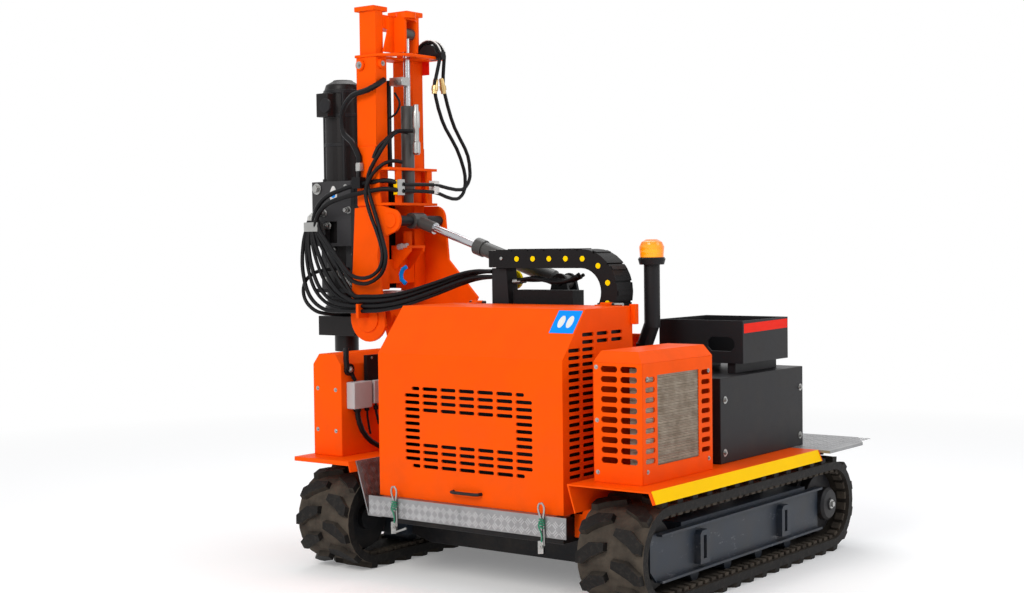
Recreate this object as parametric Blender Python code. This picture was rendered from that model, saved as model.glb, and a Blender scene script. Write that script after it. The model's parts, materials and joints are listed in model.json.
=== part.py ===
"""Tracked side-working drilling rig with a two-stage mast, in metres.

X runs across the machine, Y from the hood's face to the rear along the tracks, Z up.
Places below are measured from the ground under the middle of the hood's front face.
"""

import math

import bmesh
import bpy
from mathutils import Matrix, Vector

# Clearances
GAP = 0.0003  # between pieces that touch
RUNNING = 0.006  # between pieces that move past each other

# Width of the deck, which the tracks, hood and fenders are set out from
DECK_HALF_WIDTH = 0.47

# Undercarriage
TRACK_HEIGHT = 0.45
TRACK_WIDTH = 0.31
TRACK_MIDDLE_X = DECK_HALF_WIDTH + 0.305
BELT_THICKNESS = 0.036
LUG_HEIGHT = 0.024
LUG_LENGTH = 0.066  # along the belt
LUG_SWEEP = 0.078  # how far a lug's outer end trails its inner end
LUG_COUNT = 36  # on each half of the belt
FRONT_AXLE_Y = 0.12
REAR_AXLE_Y = 1.60
WHEEL_WIDTH = 0.15
HUB_RADIUS = 0.055
ROLLER_RADIUS = 0.034
ROLLER_COUNT = 4
ROLLER_SIDES = 12
BRACKET_YS = (0.392, 1.112)  # slotted brackets on the panel
BRACKET_LENGTH = 0.078
PANEL_X = TRACK_MIDDLE_X + 0.105  # outer face of the track frame's side panel
PANEL_THICKNESS = 0.012
PANEL_LOW_Z = TRACK_HEIGHT / 2 - 0.108
PANEL_HIGH_Z = TRACK_HEIGHT / 2 + 0.088
PANEL_FRONT_Y = 0.050
PANEL_BACK_Y = 1.525

# Chassis
DECK_LOW_Z = 0.235
DECK_TOP_Z = 0.345
DECK_FRONT_Y = 0.04
DECK_BACK_Y = 1.60
CROSS_BEAM_DEPTH = 0.14
CROSS_BEAM_WIDTH = 0.16
CROSS_BEAM_YS = (0.42, 1.22)
BUMPER_HALF_WIDTH = DECK_HALF_WIDTH + 0.066
BUMPER_HEIGHT = 0.088
BUMPER_BACK_Y = -0.029
BUMPER_PLATE = 0.006

# Fenders
FENDER_Z = TRACK_HEIGHT + 0.059
FENDER_PLATE = 0.006
FENDER_OUTER_X = TRACK_MIDDLE_X + 0.182
FENDER_INNER_X = TRACK_MIDDLE_X - 0.206
FENDER_FRONT_Y = -0.074
FENDER_BACK_Y = 1.383
LIP_SPREAD = 0.020
LIP_DROP = 0.048
SKIRT_FOOT = (DECK_HALF_WIDTH + 0.135, FENDER_Z - 0.115)  # lower edge of the right fender's inner flange
TREAD_FOOT = (DECK_HALF_WIDTH + 0.073, FENDER_Z - 0.234)  # lower edge of the left tread plate
TREAD_TOP_X = TRACK_MIDDLE_X - 0.160
RIM_DROP = 0.020
SKIRT_SHARE = 0.2  # of the tread plate's slant that the fender's edge follows
FENDER_WEB_YS = (0.12, 0.74, 1.35)

# Hood
HOOD_HALF_WIDTH = DECK_HALF_WIDTH + 0.03
HOOD_LOW_Z = 0.362
HOOD_BREAK_Z = 0.994
HOOD_TOP_Z = 1.197
HOOD_BREAK_Y = 0.172
HOOD_BACK_Y = 0.529
HOOD_WALL = 0.008
SLOT_LENGTH = 0.085
SLOT_HEIGHT = 0.016
FRONT_SLOT_PITCH_X = 0.1013
FRONT_SLOT_PITCH_Z = 0.0307
FRONT_SLOT_COLUMNS = 7
FRONT_SLOT_ROWS = 12
FRONT_SLOT_TOP_Z = 0.846
SIDE_SLOT_PITCH_Z = 0.0305
SIDE_SLOT_ROWS = 20
SIDE_SLOT_TOP_Z = 1.092
SIDE_SLOT_YS = (0.088, 0.188)
SIDE_SLOT_UPPER_YS = (0.188, 0.296, 0.404)
BULKHEAD_WALL = 0.008
HINGE_RADIUS = 0.009
HINGE_XS = (-0.36, 0.36)
HINGE_BACK = 0.012  # hinge line behind the hood's rear edge
HINGE_RISE = 0.004  # and above its top

# Engine
ENGINE_WIDTH = 0.88
ENGINE_FRONT_Y = 0.12
ENGINE_BACK_Y = 0.47
ENGINE_TOP_Z = 0.86

# Radiator housing on the right fender
RADIATOR_X = (0.625, 0.855)
RADIATOR_Y = (0.039, 0.593)
RADIATOR_BREAK_Z = 0.992
RADIATOR_TOP_Z = 1.036
RADIATOR_CHAMFER = 0.042
RADIATOR_WALL = 0.006
RADIATOR_SLOT_ROWS = 10
RADIATOR_SLOT_TOP_Z = 0.966
RADIATOR_SLOT_PITCH_Z = 0.0405
RADIATOR_SLOT_LENGTH = 0.078
RADIATOR_SLOT_HEIGHT = 0.025
WINDOW_Y = (0.157, 0.481)
WINDOW_Z = (0.578, 0.940)

# Oil tank, tray and beacon post
TANK_X = (0.36, 0.818)
TANK_Y = (0.726, 1.505)
TANK_TOP_Z = 0.881
TRAY_X = (0.366, 0.800)
TRAY_Y = (0.963, 1.392)
TRAY_LOW_Z = 0.927
TRAY_TOP_Z = 1.118
TRAY_WALL = 0.006
HANDLE_HOLE = (0.135, 0.062)
POST_RADIUS = 0.036
POST_TOP = (0.450, 0.77, 1.375)
POST_FOOT_X = 0.405
BEACON_RADIUS = 0.056
BEACON_HEIGHT = 0.082

# Left tool box
BOX_X = (-0.931, -0.756)
BOX_Y = (0.031, 0.46)
BOX_BREAK_Z = 0.928
BOX_TOP_Z = 0.976
BOX_CHAMFER = 0.038
JUNCTION_BOXES = (((0.065, 0.185), (0.725, 0.848)), ((0.200, 0.275), (0.740, 0.848)))  # (y, z) spans

# Rear
PLATFORM_X = (0.475, 1.015)
PLATFORM_Y = (1.3833, 1.905)
PLATFORM_PLATE = 0.014
PLATFORM_ARM_YS = (1.43, 1.56)
CABINET_X = (-0.50, 0.33)
CABINET_Y = (1.03, 1.56)
CABINET_TOP_Z = 0.86

# Side-shift slide that carries the mast
MAST_Y = 0.79  # middle plane of mast, slide and tilt cylinder
GUIDE_X = (-0.52, 0.355)
GUIDE_LOW_Z = 0.90
GUIDE_WALL = 0.018
BEAM_WIDTH = 0.15
BEAM_HEIGHT = 0.19
BEAM_X = (-1.03, 0.12)
PEDESTAL_X = (-0.40, 0.30)

# Cable chain
CHAIN_Y = (0.556, 0.686)
CHAIN_TOP_Z = 1.444
CHAIN_THICKNESS = 0.085
CHAIN_PITCH = 0.091  # from link to link
CHAIN_NOTCH = 0.008
CHAIN_BEND_RADIUS = 0.190  # outer
CHAIN_BEND_X = 0.215
CHAIN_END_X = -0.262
CHAIN_FOOT_X = -0.20

# Mast, fixed stage
PIVOT_X = -1.10
PIVOT_Z = 1.11
MAST_FRONT_X = -1.04
MAST_BACK_X = -1.17
POST_WIDTH = 0.080
POST_GAP = 0.196  # between the two posts
POST_WALL = 0.010
MAST_LOW_Z = 1.25
COLLAR_Z = 2.403
COLLAR_PLATE = 0.014
COLLAR_FRONT_X = -0.905
SHELF_ZS = (1.668, 1.842)
SHELF_PLATE = 0.013
SHELF_FRONT_X = -0.946
SIDE_PLATE = 0.016
SLEEVE_TOP_Z = 1.962
SLEEVE_PLATE = 0.008
CHEEK_X = -0.942
CHEEK_Z = 1.592
CHEEK_RADIUS = 0.060
FOOT_RADIUS = 0.118
PIN_RADIUS = 0.026

# Mast, sliding stage
INNER_LOW_Z = 1.37
INNER_TOP_Z = COLLAR_Z + 0.233
HEAD_PLATE = 0.024
LIFT_X = -0.992
LIFT_RADIUS = 0.033
LIFT_TUBE_RADIUS = 0.025
LEG_YS = ((0.655, 0.693), (0.888, 0.926))
LIFT_ROD_RADIUS = 0.017
STUB_TOP_Z = MAST_LOW_Z + 0.29
LIFT_HEAD_Z = 2.165
EAR_INNER = 0.036  # from the lift rod's middle to an ear's inner face
EAR_FRONT_X = -0.958
EAR_PLATE = 0.014
BOSS_RADIUS = 0.050
LIFT_PIN_Z = INNER_TOP_Z - 0.111
LIFT_HEAD_LENGTH = 0.43
LIFT_ROD_INSIDE = 0.335

# Tilt cylinder
ANCHOR_X = -0.04
ANCHOR_Z = 1.29
TILT_RADIUS = 0.042
TILT_ROD_RADIUS = 0.020
TILT_BARREL_LENGTH = 0.52
TILT_ROD_INSIDE = 0.26  # inner end of the rod, from the anchor
KNUCKLE_HALF = 0.045  # half the width of the rod's eye

# Hammer
HAMMER_X = -1.43
HAMMER_RADIUS = 0.098
HAMMER_TOP_Z = 2.300
HAMMER_CAP_Z = 2.325
VALVE_Z = (2.13, 2.25)
CLAMP_X = (-1.535, -1.232)
CLAMP_HALF_DEPTH = 0.132
CLAMP_Z = (1.25, 1.80)
CLAMP_FACE_Z = 1.470  # the clamp's near face ends here, and the lower part is set back
CARRIAGE_X = (-1.2317, -1.205)
SHOE_DEPTH = 0.012
CHUCK_Z = (1.01, 1.11)
TOOL_Z = 0.925
TOOL_RADIUS = 0.062

COLOURS = {  # name: (red, green, blue, roughness, metallic)
    "orange": (0.90, 0.16, 0.01, 0.35, 0.0),
    "graphite": (0.03, 0.032, 0.036, 0.45, 0.1),
    "frame_grey": (0.10, 0.13, 0.16, 0.5, 0.3),
    "rubber": (0.035, 0.034, 0.033, 0.85, 0.0),
    "aluminium": (0.62, 0.63, 0.64, 0.35, 0.9),
    "chrome": (0.80, 0.80, 0.82, 0.12, 1.0),
    "cylinder_grey": (0.16, 0.16, 0.15, 0.4, 0.4),
    "amber": (1.0, 0.32, 0.01, 0.15, 0.0),
    "core": (0.60, 0.50, 0.40, 0.6, 0.3),
    "hose": (0.02, 0.02, 0.022, 0.5, 0.0),
}

bodies = {}
pivots = {}


def clear_scene():
    for old in list(bpy.data.objects):
        bpy.data.objects.remove(old, do_unlink=True)


def material(name):
    found = bpy.data.materials.get(name)
    if found:
        return found
    red, green, blue, roughness, metallic = COLOURS[name]
    made = bpy.data.materials.new(name)
    made.use_nodes = True
    shader = made.node_tree.nodes["Principled BSDF"]
    shader.inputs["Base Color"].default_value = (red, green, blue, 1.0)
    shader.inputs["Roughness"].default_value = roughness
    shader.inputs["Metallic"].default_value = metallic
    made.diffuse_color = (red, green, blue, 1.0)
    return made


def body(name, parent, pivot):
    """An empty at the body's joint, which its pieces and child bodies hang from."""
    empty = bpy.data.objects.new("body_" + name, None)
    bpy.context.scene.collection.objects.link(empty)
    pivots[name] = Vector(pivot)
    bodies[name] = empty
    if parent:
        empty.parent = bodies[parent]
        empty.location = pivots[name] - pivots[parent]
    return empty


# Solids. Each returns a closed bmesh with its faces pointing out.


def prism(outline, axis, low, high):
    """An outline in the two other axes, in X, Y, Z order, drawn out along axis."""
    place = {
        "X": lambda a, b, h: (h, a, b),
        "Y": lambda a, b, h: (a, h, b),
        "Z": lambda a, b, h: (a, b, h),
    }[axis]
    bm = bmesh.new()
    face = bm.faces.new([bm.verts.new(place(a, b, low)) for a, b in outline])
    grown = bmesh.ops.extrude_face_region(bm, geom=[face])["geom"]
    tops = [v for v in grown if isinstance(v, bmesh.types.BMVert)]
    bmesh.ops.translate(bm, verts=tops, vec=place(0, 0, high - low))
    bmesh.ops.recalc_face_normals(bm, faces=bm.faces[:])
    return bm


def block(x, y, z):
    """A box from (low, high) pairs."""
    return prism([(x[0], y[0]), (x[1], y[0]), (x[1], y[1]), (x[0], y[1])], "Z", *z)


def turned(profile, start, direction, sides):
    """A solid of revolution: profile is (distance along direction, radius) pairs."""
    bm = bmesh.new()
    turn = Vector((0, 0, 1)).rotation_difference(Vector(direction)).to_matrix().to_4x4()
    frame = Matrix.Translation(start) @ turn
    rings = []
    for along, radius in profile:
        ring = []
        for side in range(sides):
            angle = 2 * math.pi * (side + 0.5) / sides
            spot = Vector((radius * math.cos(angle), radius * math.sin(angle), along))
            ring.append(bm.verts.new(frame @ spot))
        rings.append(ring)
    bm.faces.new(rings[0][::-1])
    bm.faces.new(rings[-1])
    for lower, upper in zip(rings, rings[1:]):
        for side in range(sides):
            after = (side + 1) % sides
            bm.faces.new((lower[side], lower[after], upper[after], upper[side]))
    bmesh.ops.recalc_face_normals(bm, faces=bm.faces[:])
    return bm


def rod(start, end, radius, sides=16):
    start, end = Vector(start), Vector(end)
    length = (end - start).length
    return turned([(0, radius), (length, radius)], start, end - start, sides)


def loft(sections):
    """Rectangles (x, y, z) stacked upwards, each x and y a (low, high) pair."""
    bm = bmesh.new()
    rings = []
    for x, y, z in sections:
        corners = [(x[0], y[0]), (x[1], y[0]), (x[1], y[1]), (x[0], y[1])]
        rings.append([bm.verts.new((a, b, z)) for a, b in corners])
    bm.faces.new(rings[0][::-1])
    bm.faces.new(rings[-1])
    for lower, upper in zip(rings, rings[1:]):
        for side in range(4):
            after = (side + 1) % 4
            bm.faces.new((lower[side], lower[after], upper[after], upper[side]))
    bmesh.ops.recalc_face_normals(bm, faces=bm.faces[:])
    return bm


def group(solids):
    """Solids that don't touch, as one bmesh."""
    whole = bmesh.new()
    for solid in solids:
        part = bpy.data.meshes.new("part")
        solid.to_mesh(part)
        solid.free()
        whole.from_mesh(part)
        bpy.data.meshes.remove(part)
    return whole


def moved(solid, shift):
    bmesh.ops.translate(solid, verts=solid.verts, vec=shift)
    return solid


# Outlines


def arc(centre, radius, start, end, steps):
    """Points on an arc, angles in degrees, both ends included."""
    points = []
    for step in range(steps + 1):
        angle = math.radians(start + (end - start) * step / steps)
        points.append((centre[0] + radius * math.cos(angle), centre[1] + radius * math.sin(angle)))
    return points


def slot_outline(middle, length, height):
    """A lying slot with chamfered ends, eight points."""
    half, rise, cut = length / 2, height / 2, height * 0.3
    corners = (
        (half - cut, -rise),
        (half, cut - rise),
        (half, rise - cut),
        (half - cut, rise),
        (cut - half, rise),
        (-half, rise - cut),
        (-half, cut - rise),
        (cut - half, -rise),
    )
    return [(middle[0] + a, middle[1] + b) for a, b in corners]


def inset(outline, distance):
    """A convex outline, anticlockwise, with every side moved inwards."""
    count = len(outline)
    lines = []
    for here in range(count):
        a = Vector(outline[here])
        b = Vector(outline[(here + 1) % count])
        along = (b - a).normalized()
        lines.append((a + Vector((-along.y, along.x)) * distance, along))
    points = []
    for here in range(count):
        p, d = lines[here - 1]
        q, e = lines[here]
        reach = ((q - p).x * e.y - (q - p).y * e.x) / (d.x * e.y - d.y * e.x)
        points.append(tuple(p + d * reach))
    return points


def bent_plate(line, thickness):
    """The outline of a plate bent along a line, thickened to the line's right."""
    points = [Vector(p) for p in line]
    directions = [(b - a).normalized() for a, b in zip(points, points[1:])]
    under = []
    for here, point in enumerate(points):
        before = directions[max(here - 1, 0)]
        after = directions[min(here, len(directions) - 1)]
        mean = (before + after).normalized()
        normal = Vector((mean.y, -mean.x))
        under.append(point + normal * thickness / max(normal.dot(Vector((after.y, -after.x))), 0.3))
    return [tuple(p) for p in points] + [tuple(p) for p in reversed(under)]


# Objects


def object_of(name, solid):
    mesh = bpy.data.meshes.new(name)
    solid.to_mesh(mesh)
    solid.free()
    made = bpy.data.objects.new(name, mesh)
    bpy.context.scene.collection.objects.link(made)
    return made


def piece(name, body_name, finish, solids, cuts=(), sharp=32):
    """One sub-part: solids that overlap are joined, then the cuts are taken out."""
    made = object_of(name, solids[0])
    helpers = []
    for operation, shapes in (("UNION", solids[1:]), ("DIFFERENCE", cuts)):
        for shape in shapes:
            helper = object_of(name + "_tool", shape)
            modifier = made.modifiers.new(operation.lower(), "BOOLEAN")
            modifier.operation = operation
            modifier.solver = "EXACT"
            modifier.object = helper
            helpers.append(helper)
    if helpers:
        bpy.context.view_layer.update()
        graph = bpy.context.evaluated_depsgraph_get()
        whole = bpy.data.meshes.new_from_object(made.evaluated_get(graph))
        made.modifiers.clear()
        made.data = whole
        for helper in helpers:
            bpy.data.objects.remove(helper, do_unlink=True)
    seat(made, body_name, finish, sharp)
    return made


def seat(made, body_name, finish, sharp):
    """Hang a piece on its body and put its origin on the body's joint."""
    made.data.transform(Matrix.Translation(-pivots[body_name]))
    made.parent = bodies[body_name]
    made.data.materials.clear()
    made.data.materials.append(material(finish))
    made.data.shade_smooth()
    made.data.set_sharp_from_angle(angle=math.radians(sharp))


# Undercarriage


def belt_point(along, radius):
    """A point and the outward direction on a racetrack loop, along in metres at the given radius."""
    straight = REAR_AXLE_Y - FRONT_AXLE_Y
    turn = math.pi * radius
    middle = TRACK_HEIGHT / 2
    along = along % (2 * straight + 2 * turn)
    if along < straight:
        return Vector((0, FRONT_AXLE_Y + along, middle + radius)), Vector((0, 0, 1))
    along -= straight
    if along < turn:
        angle = math.pi / 2 - along / radius
        out = Vector((0, math.cos(angle), math.sin(angle)))
        return Vector((0, REAR_AXLE_Y, middle)) + out * radius, out
    along -= turn
    if along < straight:
        return Vector((0, REAR_AXLE_Y - along, middle - radius)), Vector((0, 0, -1))
    angle = -math.pi / 2 - (along - straight) / radius
    out = Vector((0, math.cos(angle), math.sin(angle)))
    return Vector((0, FRONT_AXLE_Y, middle)) + out * radius, out


def belt_outline(radius, steps):
    middle = TRACK_HEIGHT / 2
    front = arc((FRONT_AXLE_Y, middle), radius, 90, 270, steps)
    rear = arc((REAR_AXLE_Y, middle), radius, -90, 90, steps)
    return front + rear


def lug(along, side):
    """One bent rubber bar on half of the belt, its root sunk in the belt."""
    radius = TRACK_HEIGHT / 2 - LUG_HEIGHT
    inner, bend, outer = 0.012, TRACK_WIDTH * 0.29, TRACK_WIDTH / 2 - 0.004
    half = LUG_LENGTH / 2
    middle = (bend + outer) / 2
    plan = (  # (across, forward) at the root
        (inner, LUG_SWEEP * 0.5 - half * 0.7),
        (bend, LUG_SWEEP * 0.06 - half),
        (middle, -LUG_SWEEP * 0.30 - half),
        (outer, -LUG_SWEEP * 0.5 - half * 0.55),
        (outer, -LUG_SWEEP * 0.5 + half * 0.95),
        (middle, -LUG_SWEEP * 0.16 + half),
        (bend, LUG_SWEEP * 0.26 + half * 0.85),
        (inner + 0.004, LUG_SWEEP * 0.5 + half * 0.45),
    )
    heart = (bend, LUG_SWEEP * 0.1)
    bm = bmesh.new()
    root, crest = [], []
    for across, ahead in plan:
        sideways = Vector((side * across, 0, 0))
        spot, out = belt_point(along + ahead, radius)
        root.append(bm.verts.new(spot + sideways - out * BELT_THICKNESS * 0.5))
        narrow = 0.74
        sideways = Vector((side * (heart[0] + (across - heart[0]) * 0.94), 0, 0))
        spot, out = belt_point(along + heart[1] + (ahead - heart[1]) * narrow, radius)
        crest.append(bm.verts.new(spot + sideways + out * LUG_HEIGHT))
    bm.faces.new(root)
    bm.faces.new(crest)
    for here in range(len(plan)):
        after = (here + 1) % len(plan)
        bm.faces.new((root[here], root[after], crest[after], crest[here]))
    bmesh.ops.recalc_face_normals(bm, faces=bm.faces[:])
    return bm


def track():
    outer = TRACK_HEIGHT / 2 - LUG_HEIGHT
    half = TRACK_WIDTH / 2
    belt = prism(belt_outline(outer, 14), "X", -half, half)
    bore = prism(belt_outline(outer - BELT_THICKNESS, 14), "X", -half - 0.01, half + 0.01)
    loop = 2 * (REAR_AXLE_Y - FRONT_AXLE_Y) + 2 * math.pi * outer
    lugs = []
    for number in range(LUG_COUNT):
        lugs.append(lug(loop * number / LUG_COUNT, 1))
        lugs.append(lug(loop * (number + 0.5) / LUG_COUNT, -1))
    return belt, group(lugs), bore


def undercarriage():
    inner_radius = TRACK_HEIGHT / 2 - LUG_HEIGHT - BELT_THICKNESS
    axle_z = TRACK_HEIGHT / 2
    for side, label in ((1, "right"), (-1, "left")):
        belt, lugs, bore = track()
        shift = (side * TRACK_MIDDLE_X, 0, 0)
        piece("track_" + label, "root", "rubber",
              [moved(belt, shift), moved(lugs, shift)], [moved(bore, shift)])
        track_frame(side, label, inner_radius, axle_z)
        wheels(side, label, inner_radius, axle_z)


def track_frame(side, label, inner_radius, axle_z):
    """A box beam with its outer panel, and bottom rollers in one piece with it."""
    def across(low, high):
        return tuple(sorted((side * low, side * high)))

    beam_x = across(DECK_HALF_WIDTH + 0.14, PANEL_X - PANEL_THICKNESS + 0.002)
    clear = inner_radius + 0.02
    beam_y = (FRONT_AXLE_Y + clear, REAR_AXLE_Y - clear)
    beam = block(beam_x, beam_y, (PANEL_LOW_Z + 0.005, PANEL_HIGH_Z + 0.015))
    low, high = PANEL_LOW_Z, PANEL_HIGH_Z
    front, back = PANEL_FRONT_Y, PANEL_BACK_Y
    outline = [
        (front + 0.05, low), (back, low), (back, high),
        (front + 0.02, high), (front, high - 0.03), (front, low + 0.05),
    ]
    panel = prism(outline, "X", *across(PANEL_X - PANEL_THICKNESS, PANEL_X))
    flanges = []
    for foot, top in ((high - 0.010, high), (low, low + 0.010)):
        flanges.append(block(across(PANEL_X - 0.004, PANEL_X + 0.026), (front + 0.05, back), (foot, top)))
    parts = [beam, panel] + flanges
    bottom = axle_z - inner_radius + GAP
    pitch = (beam_y[1] - beam_y[0]) / ROLLER_COUNT
    for number in range(ROLLER_COUNT):
        y = beam_y[0] + pitch * (number + 0.5)
        centre_z = bottom + ROLLER_RADIUS * math.cos(math.pi / ROLLER_SIDES)  # a flat lies on the belt
        roller_x = across(TRACK_MIDDLE_X - WHEEL_WIDTH / 2, TRACK_MIDDLE_X + WHEEL_WIDTH / 2)
        parts.append(rod((roller_x[0], y, centre_z), (roller_x[1], y, centre_z), ROLLER_RADIUS, ROLLER_SIDES))
    brackets, slots = [], []
    foot, top = low + 0.028, high - 0.030
    slot_x = across(PANEL_X + 0.006, PANEL_X + 0.05)
    for y in BRACKET_YS:
        end = y + BRACKET_LENGTH
        outline = [(y, foot), (end, foot), (end, top - 0.015)]
        outline += [(end - 0.015, top), (y + 0.015, top), (y, top - 0.015)]
        brackets.append(prism(outline, "X", *across(PANEL_X - 0.004, PANEL_X + 0.030)))
        slots.append(block(slot_x, (y + 0.026, end - 0.028), (foot + 0.020, top - 0.022)))
    piece("track_frame_" + label, "root", "frame_grey", parts + brackets, [group(slots)])


def wheels(side, label, inner_radius, axle_z):
    """The front idler and the rear drive wheel, each a turned disc with a hub."""
    sides = 28
    radius = inner_radius * math.cos(math.pi / sides) - GAP
    half = WHEEL_WIDTH / 2
    table = (  # (name, y, hub's outer end)
        ("idler_", FRONT_AXLE_Y, half + 0.002),
        ("drive_wheel_", REAR_AXLE_Y, half + 0.045),
    )
    for name, y, hub_out in table:
        profile = (
            (-half - 0.03, HUB_RADIUS),
            (-half, HUB_RADIUS),
            (-half, radius * 0.86),
            (-half * 0.4, radius * 0.86),
            (-half * 0.4, radius),
            (half * 0.4, radius),
            (half * 0.4, radius * 0.86),
            (half, radius * 0.86),
            (half, HUB_RADIUS),
            (hub_out, HUB_RADIUS),
            (hub_out + 0.006, HUB_RADIUS * 0.8),
        )
        disc = turned(profile, (side * TRACK_MIDDLE_X, y, axle_z), (side, 0, 0), sides)
        piece(name + label, "root", "graphite", [disc])


# Chassis, fenders and platform


def chassis():
    deck = block((-DECK_HALF_WIDTH, DECK_HALF_WIDTH), (DECK_FRONT_Y, DECK_BACK_Y), (DECK_LOW_Z, DECK_TOP_Z))
    frame_x = DECK_HALF_WIDTH + 0.14 - GAP
    low = DECK_LOW_Z - CROSS_BEAM_DEPTH
    half = CROSS_BEAM_WIDTH / 2
    outline = [
        (-frame_x, low + 0.03), (-frame_x + 0.12, low), (frame_x - 0.12, low),
        (frame_x, low + 0.03), (frame_x, DECK_LOW_Z), (frame_x - 0.02, DECK_LOW_Z + 0.02),
        (0.02 - frame_x, DECK_LOW_Z + 0.02), (-frame_x, DECK_LOW_Z),
    ]
    beams = [prism(outline, "Y", y - half, y + half) for y in CROSS_BEAM_YS]
    piece("chassis", "root", "graphite", [deck] + beams)
    top = HOOD_LOW_Z - GAP
    front = BUMPER_BACK_Y - BUMPER_PLATE
    low = top - BUMPER_HEIGHT
    width = (-BUMPER_HALF_WIDTH, BUMPER_HALF_WIDTH)
    face = block(width, (front, BUMPER_BACK_Y), (low, top))
    half = DECK_HALF_WIDTH
    flange = block((-half, half), (BUMPER_BACK_Y - 0.002, DECK_FRONT_Y + 0.05), (top - BUMPER_PLATE, top))
    web = block((-half, half), (BUMPER_BACK_Y - 0.002, DECK_FRONT_Y - GAP), (low, low + 0.012))
    spacer = block((-half, half), (DECK_FRONT_Y + 0.004, DECK_FRONT_Y + 0.05),
                   (DECK_TOP_Z + GAP, top - 0.002))
    piece("front_bumper", "root", "aluminium", [face, flange, web, spacer])


def fenders():
    """Plates over the tracks with a slanted lip, carried by webs off the deck's sides."""
    span = (FENDER_FRONT_Y, FENDER_BACK_Y)
    lip = [(FENDER_OUTER_X + LIP_SPREAD, FENDER_Z - LIP_DROP), (FENDER_OUTER_X, FENDER_Z)]
    edge = (FENDER_INNER_X, FENDER_Z)
    side = DECK_HALF_WIDTH + GAP
    right = prism(bent_plate((lip + [edge, SKIRT_FOOT])[::-1], FENDER_PLATE), "Y", *span)
    low, top = DECK_LOW_Z + 0.02, DECK_TOP_Z + 0.007
    web = [(side, low), (side + 0.02, low), (SKIRT_FOOT[0] - 0.001, SKIRT_FOOT[1] + 0.002),
           (edge[0] + 0.002, edge[1] - 0.003), (HOOD_HALF_WIDTH + 0.008, top), (side, top)]
    webs = [prism(web, "Y", y, y + 0.012) for y in FENDER_WEB_YS]
    piece("fender_right", "root", "orange", [right] + webs)
    top, thick = FENDER_Z, FENDER_PLATE
    run, rise = TREAD_TOP_X - TREAD_FOOT[0], top - TREAD_FOOT[1]
    inner = TREAD_TOP_X + (thick + GAP) * math.hypot(run, rise) / rise
    line = [(inner - run * SKIRT_SHARE, top - rise * SKIRT_SHARE), (inner, top), (FENDER_OUTER_X, top)]
    plate = prism([(-a, b) for a, b in bent_plate(line, thick)], "Y", *span)
    x, drop = (-FENDER_OUTER_X, -inner), (top - RIM_DROP, top - 0.002)
    rims = [block(x, (span[0], span[0] + thick), drop), block((x[0], x[0] + thick), span, drop)]
    piece("fender_left", "root", "orange", [plate] + rims)
    line = [(side, TREAD_FOOT[1]), TREAD_FOOT, (TREAD_TOP_X, top)]
    tread = bent_plate(line, FENDER_PLATE)
    tread_span = (BUMPER_BACK_Y + GAP, FENDER_BACK_Y)
    piece("tread_plate_left", "root", "aluminium", [prism([(-a, b) for a, b in tread], "Y", *tread_span)])


def platform():
    x, y = PLATFORM_X, PLATFORM_Y
    low = FENDER_Z - PLATFORM_PLATE
    outline = [(x[0], y[0]), (x[1], y[0]), (x[1], y[1] - 0.17), (x[1] - 0.10, y[1]), (x[0], y[1])]
    plate = prism(outline, "Z", low, low + PLATFORM_PLATE)
    piece("rear_platform", "root", "aluminium", [plate])
    side = DECK_HALF_WIDTH + GAP
    top = low - GAP
    inner = TRACK_MIDDLE_X - TRACK_WIDTH / 2 - 0.008
    arm = [
        (side, DECK_LOW_Z + 0.02), (side + 0.03, DECK_LOW_Z + 0.02), (inner, TRACK_HEIGHT - 0.02),
        (inner, TRACK_HEIGHT + 0.016), (x[1] - 0.06, TRACK_HEIGHT + 0.03), (x[1] - 0.06, top), (side, top),
    ]
    arms = [prism(arm, "Y", arm_y, arm_y + 0.012) for arm_y in PLATFORM_ARM_YS]
    tie_y = (PLATFORM_ARM_YS[0], PLATFORM_ARM_YS[1] + 0.012)
    tie = block((side, side + 0.012), tie_y, (DECK_LOW_Z + 0.02, top))
    piece("platform_bracket", "root", "graphite", [tie] + arms)


# Body work


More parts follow.
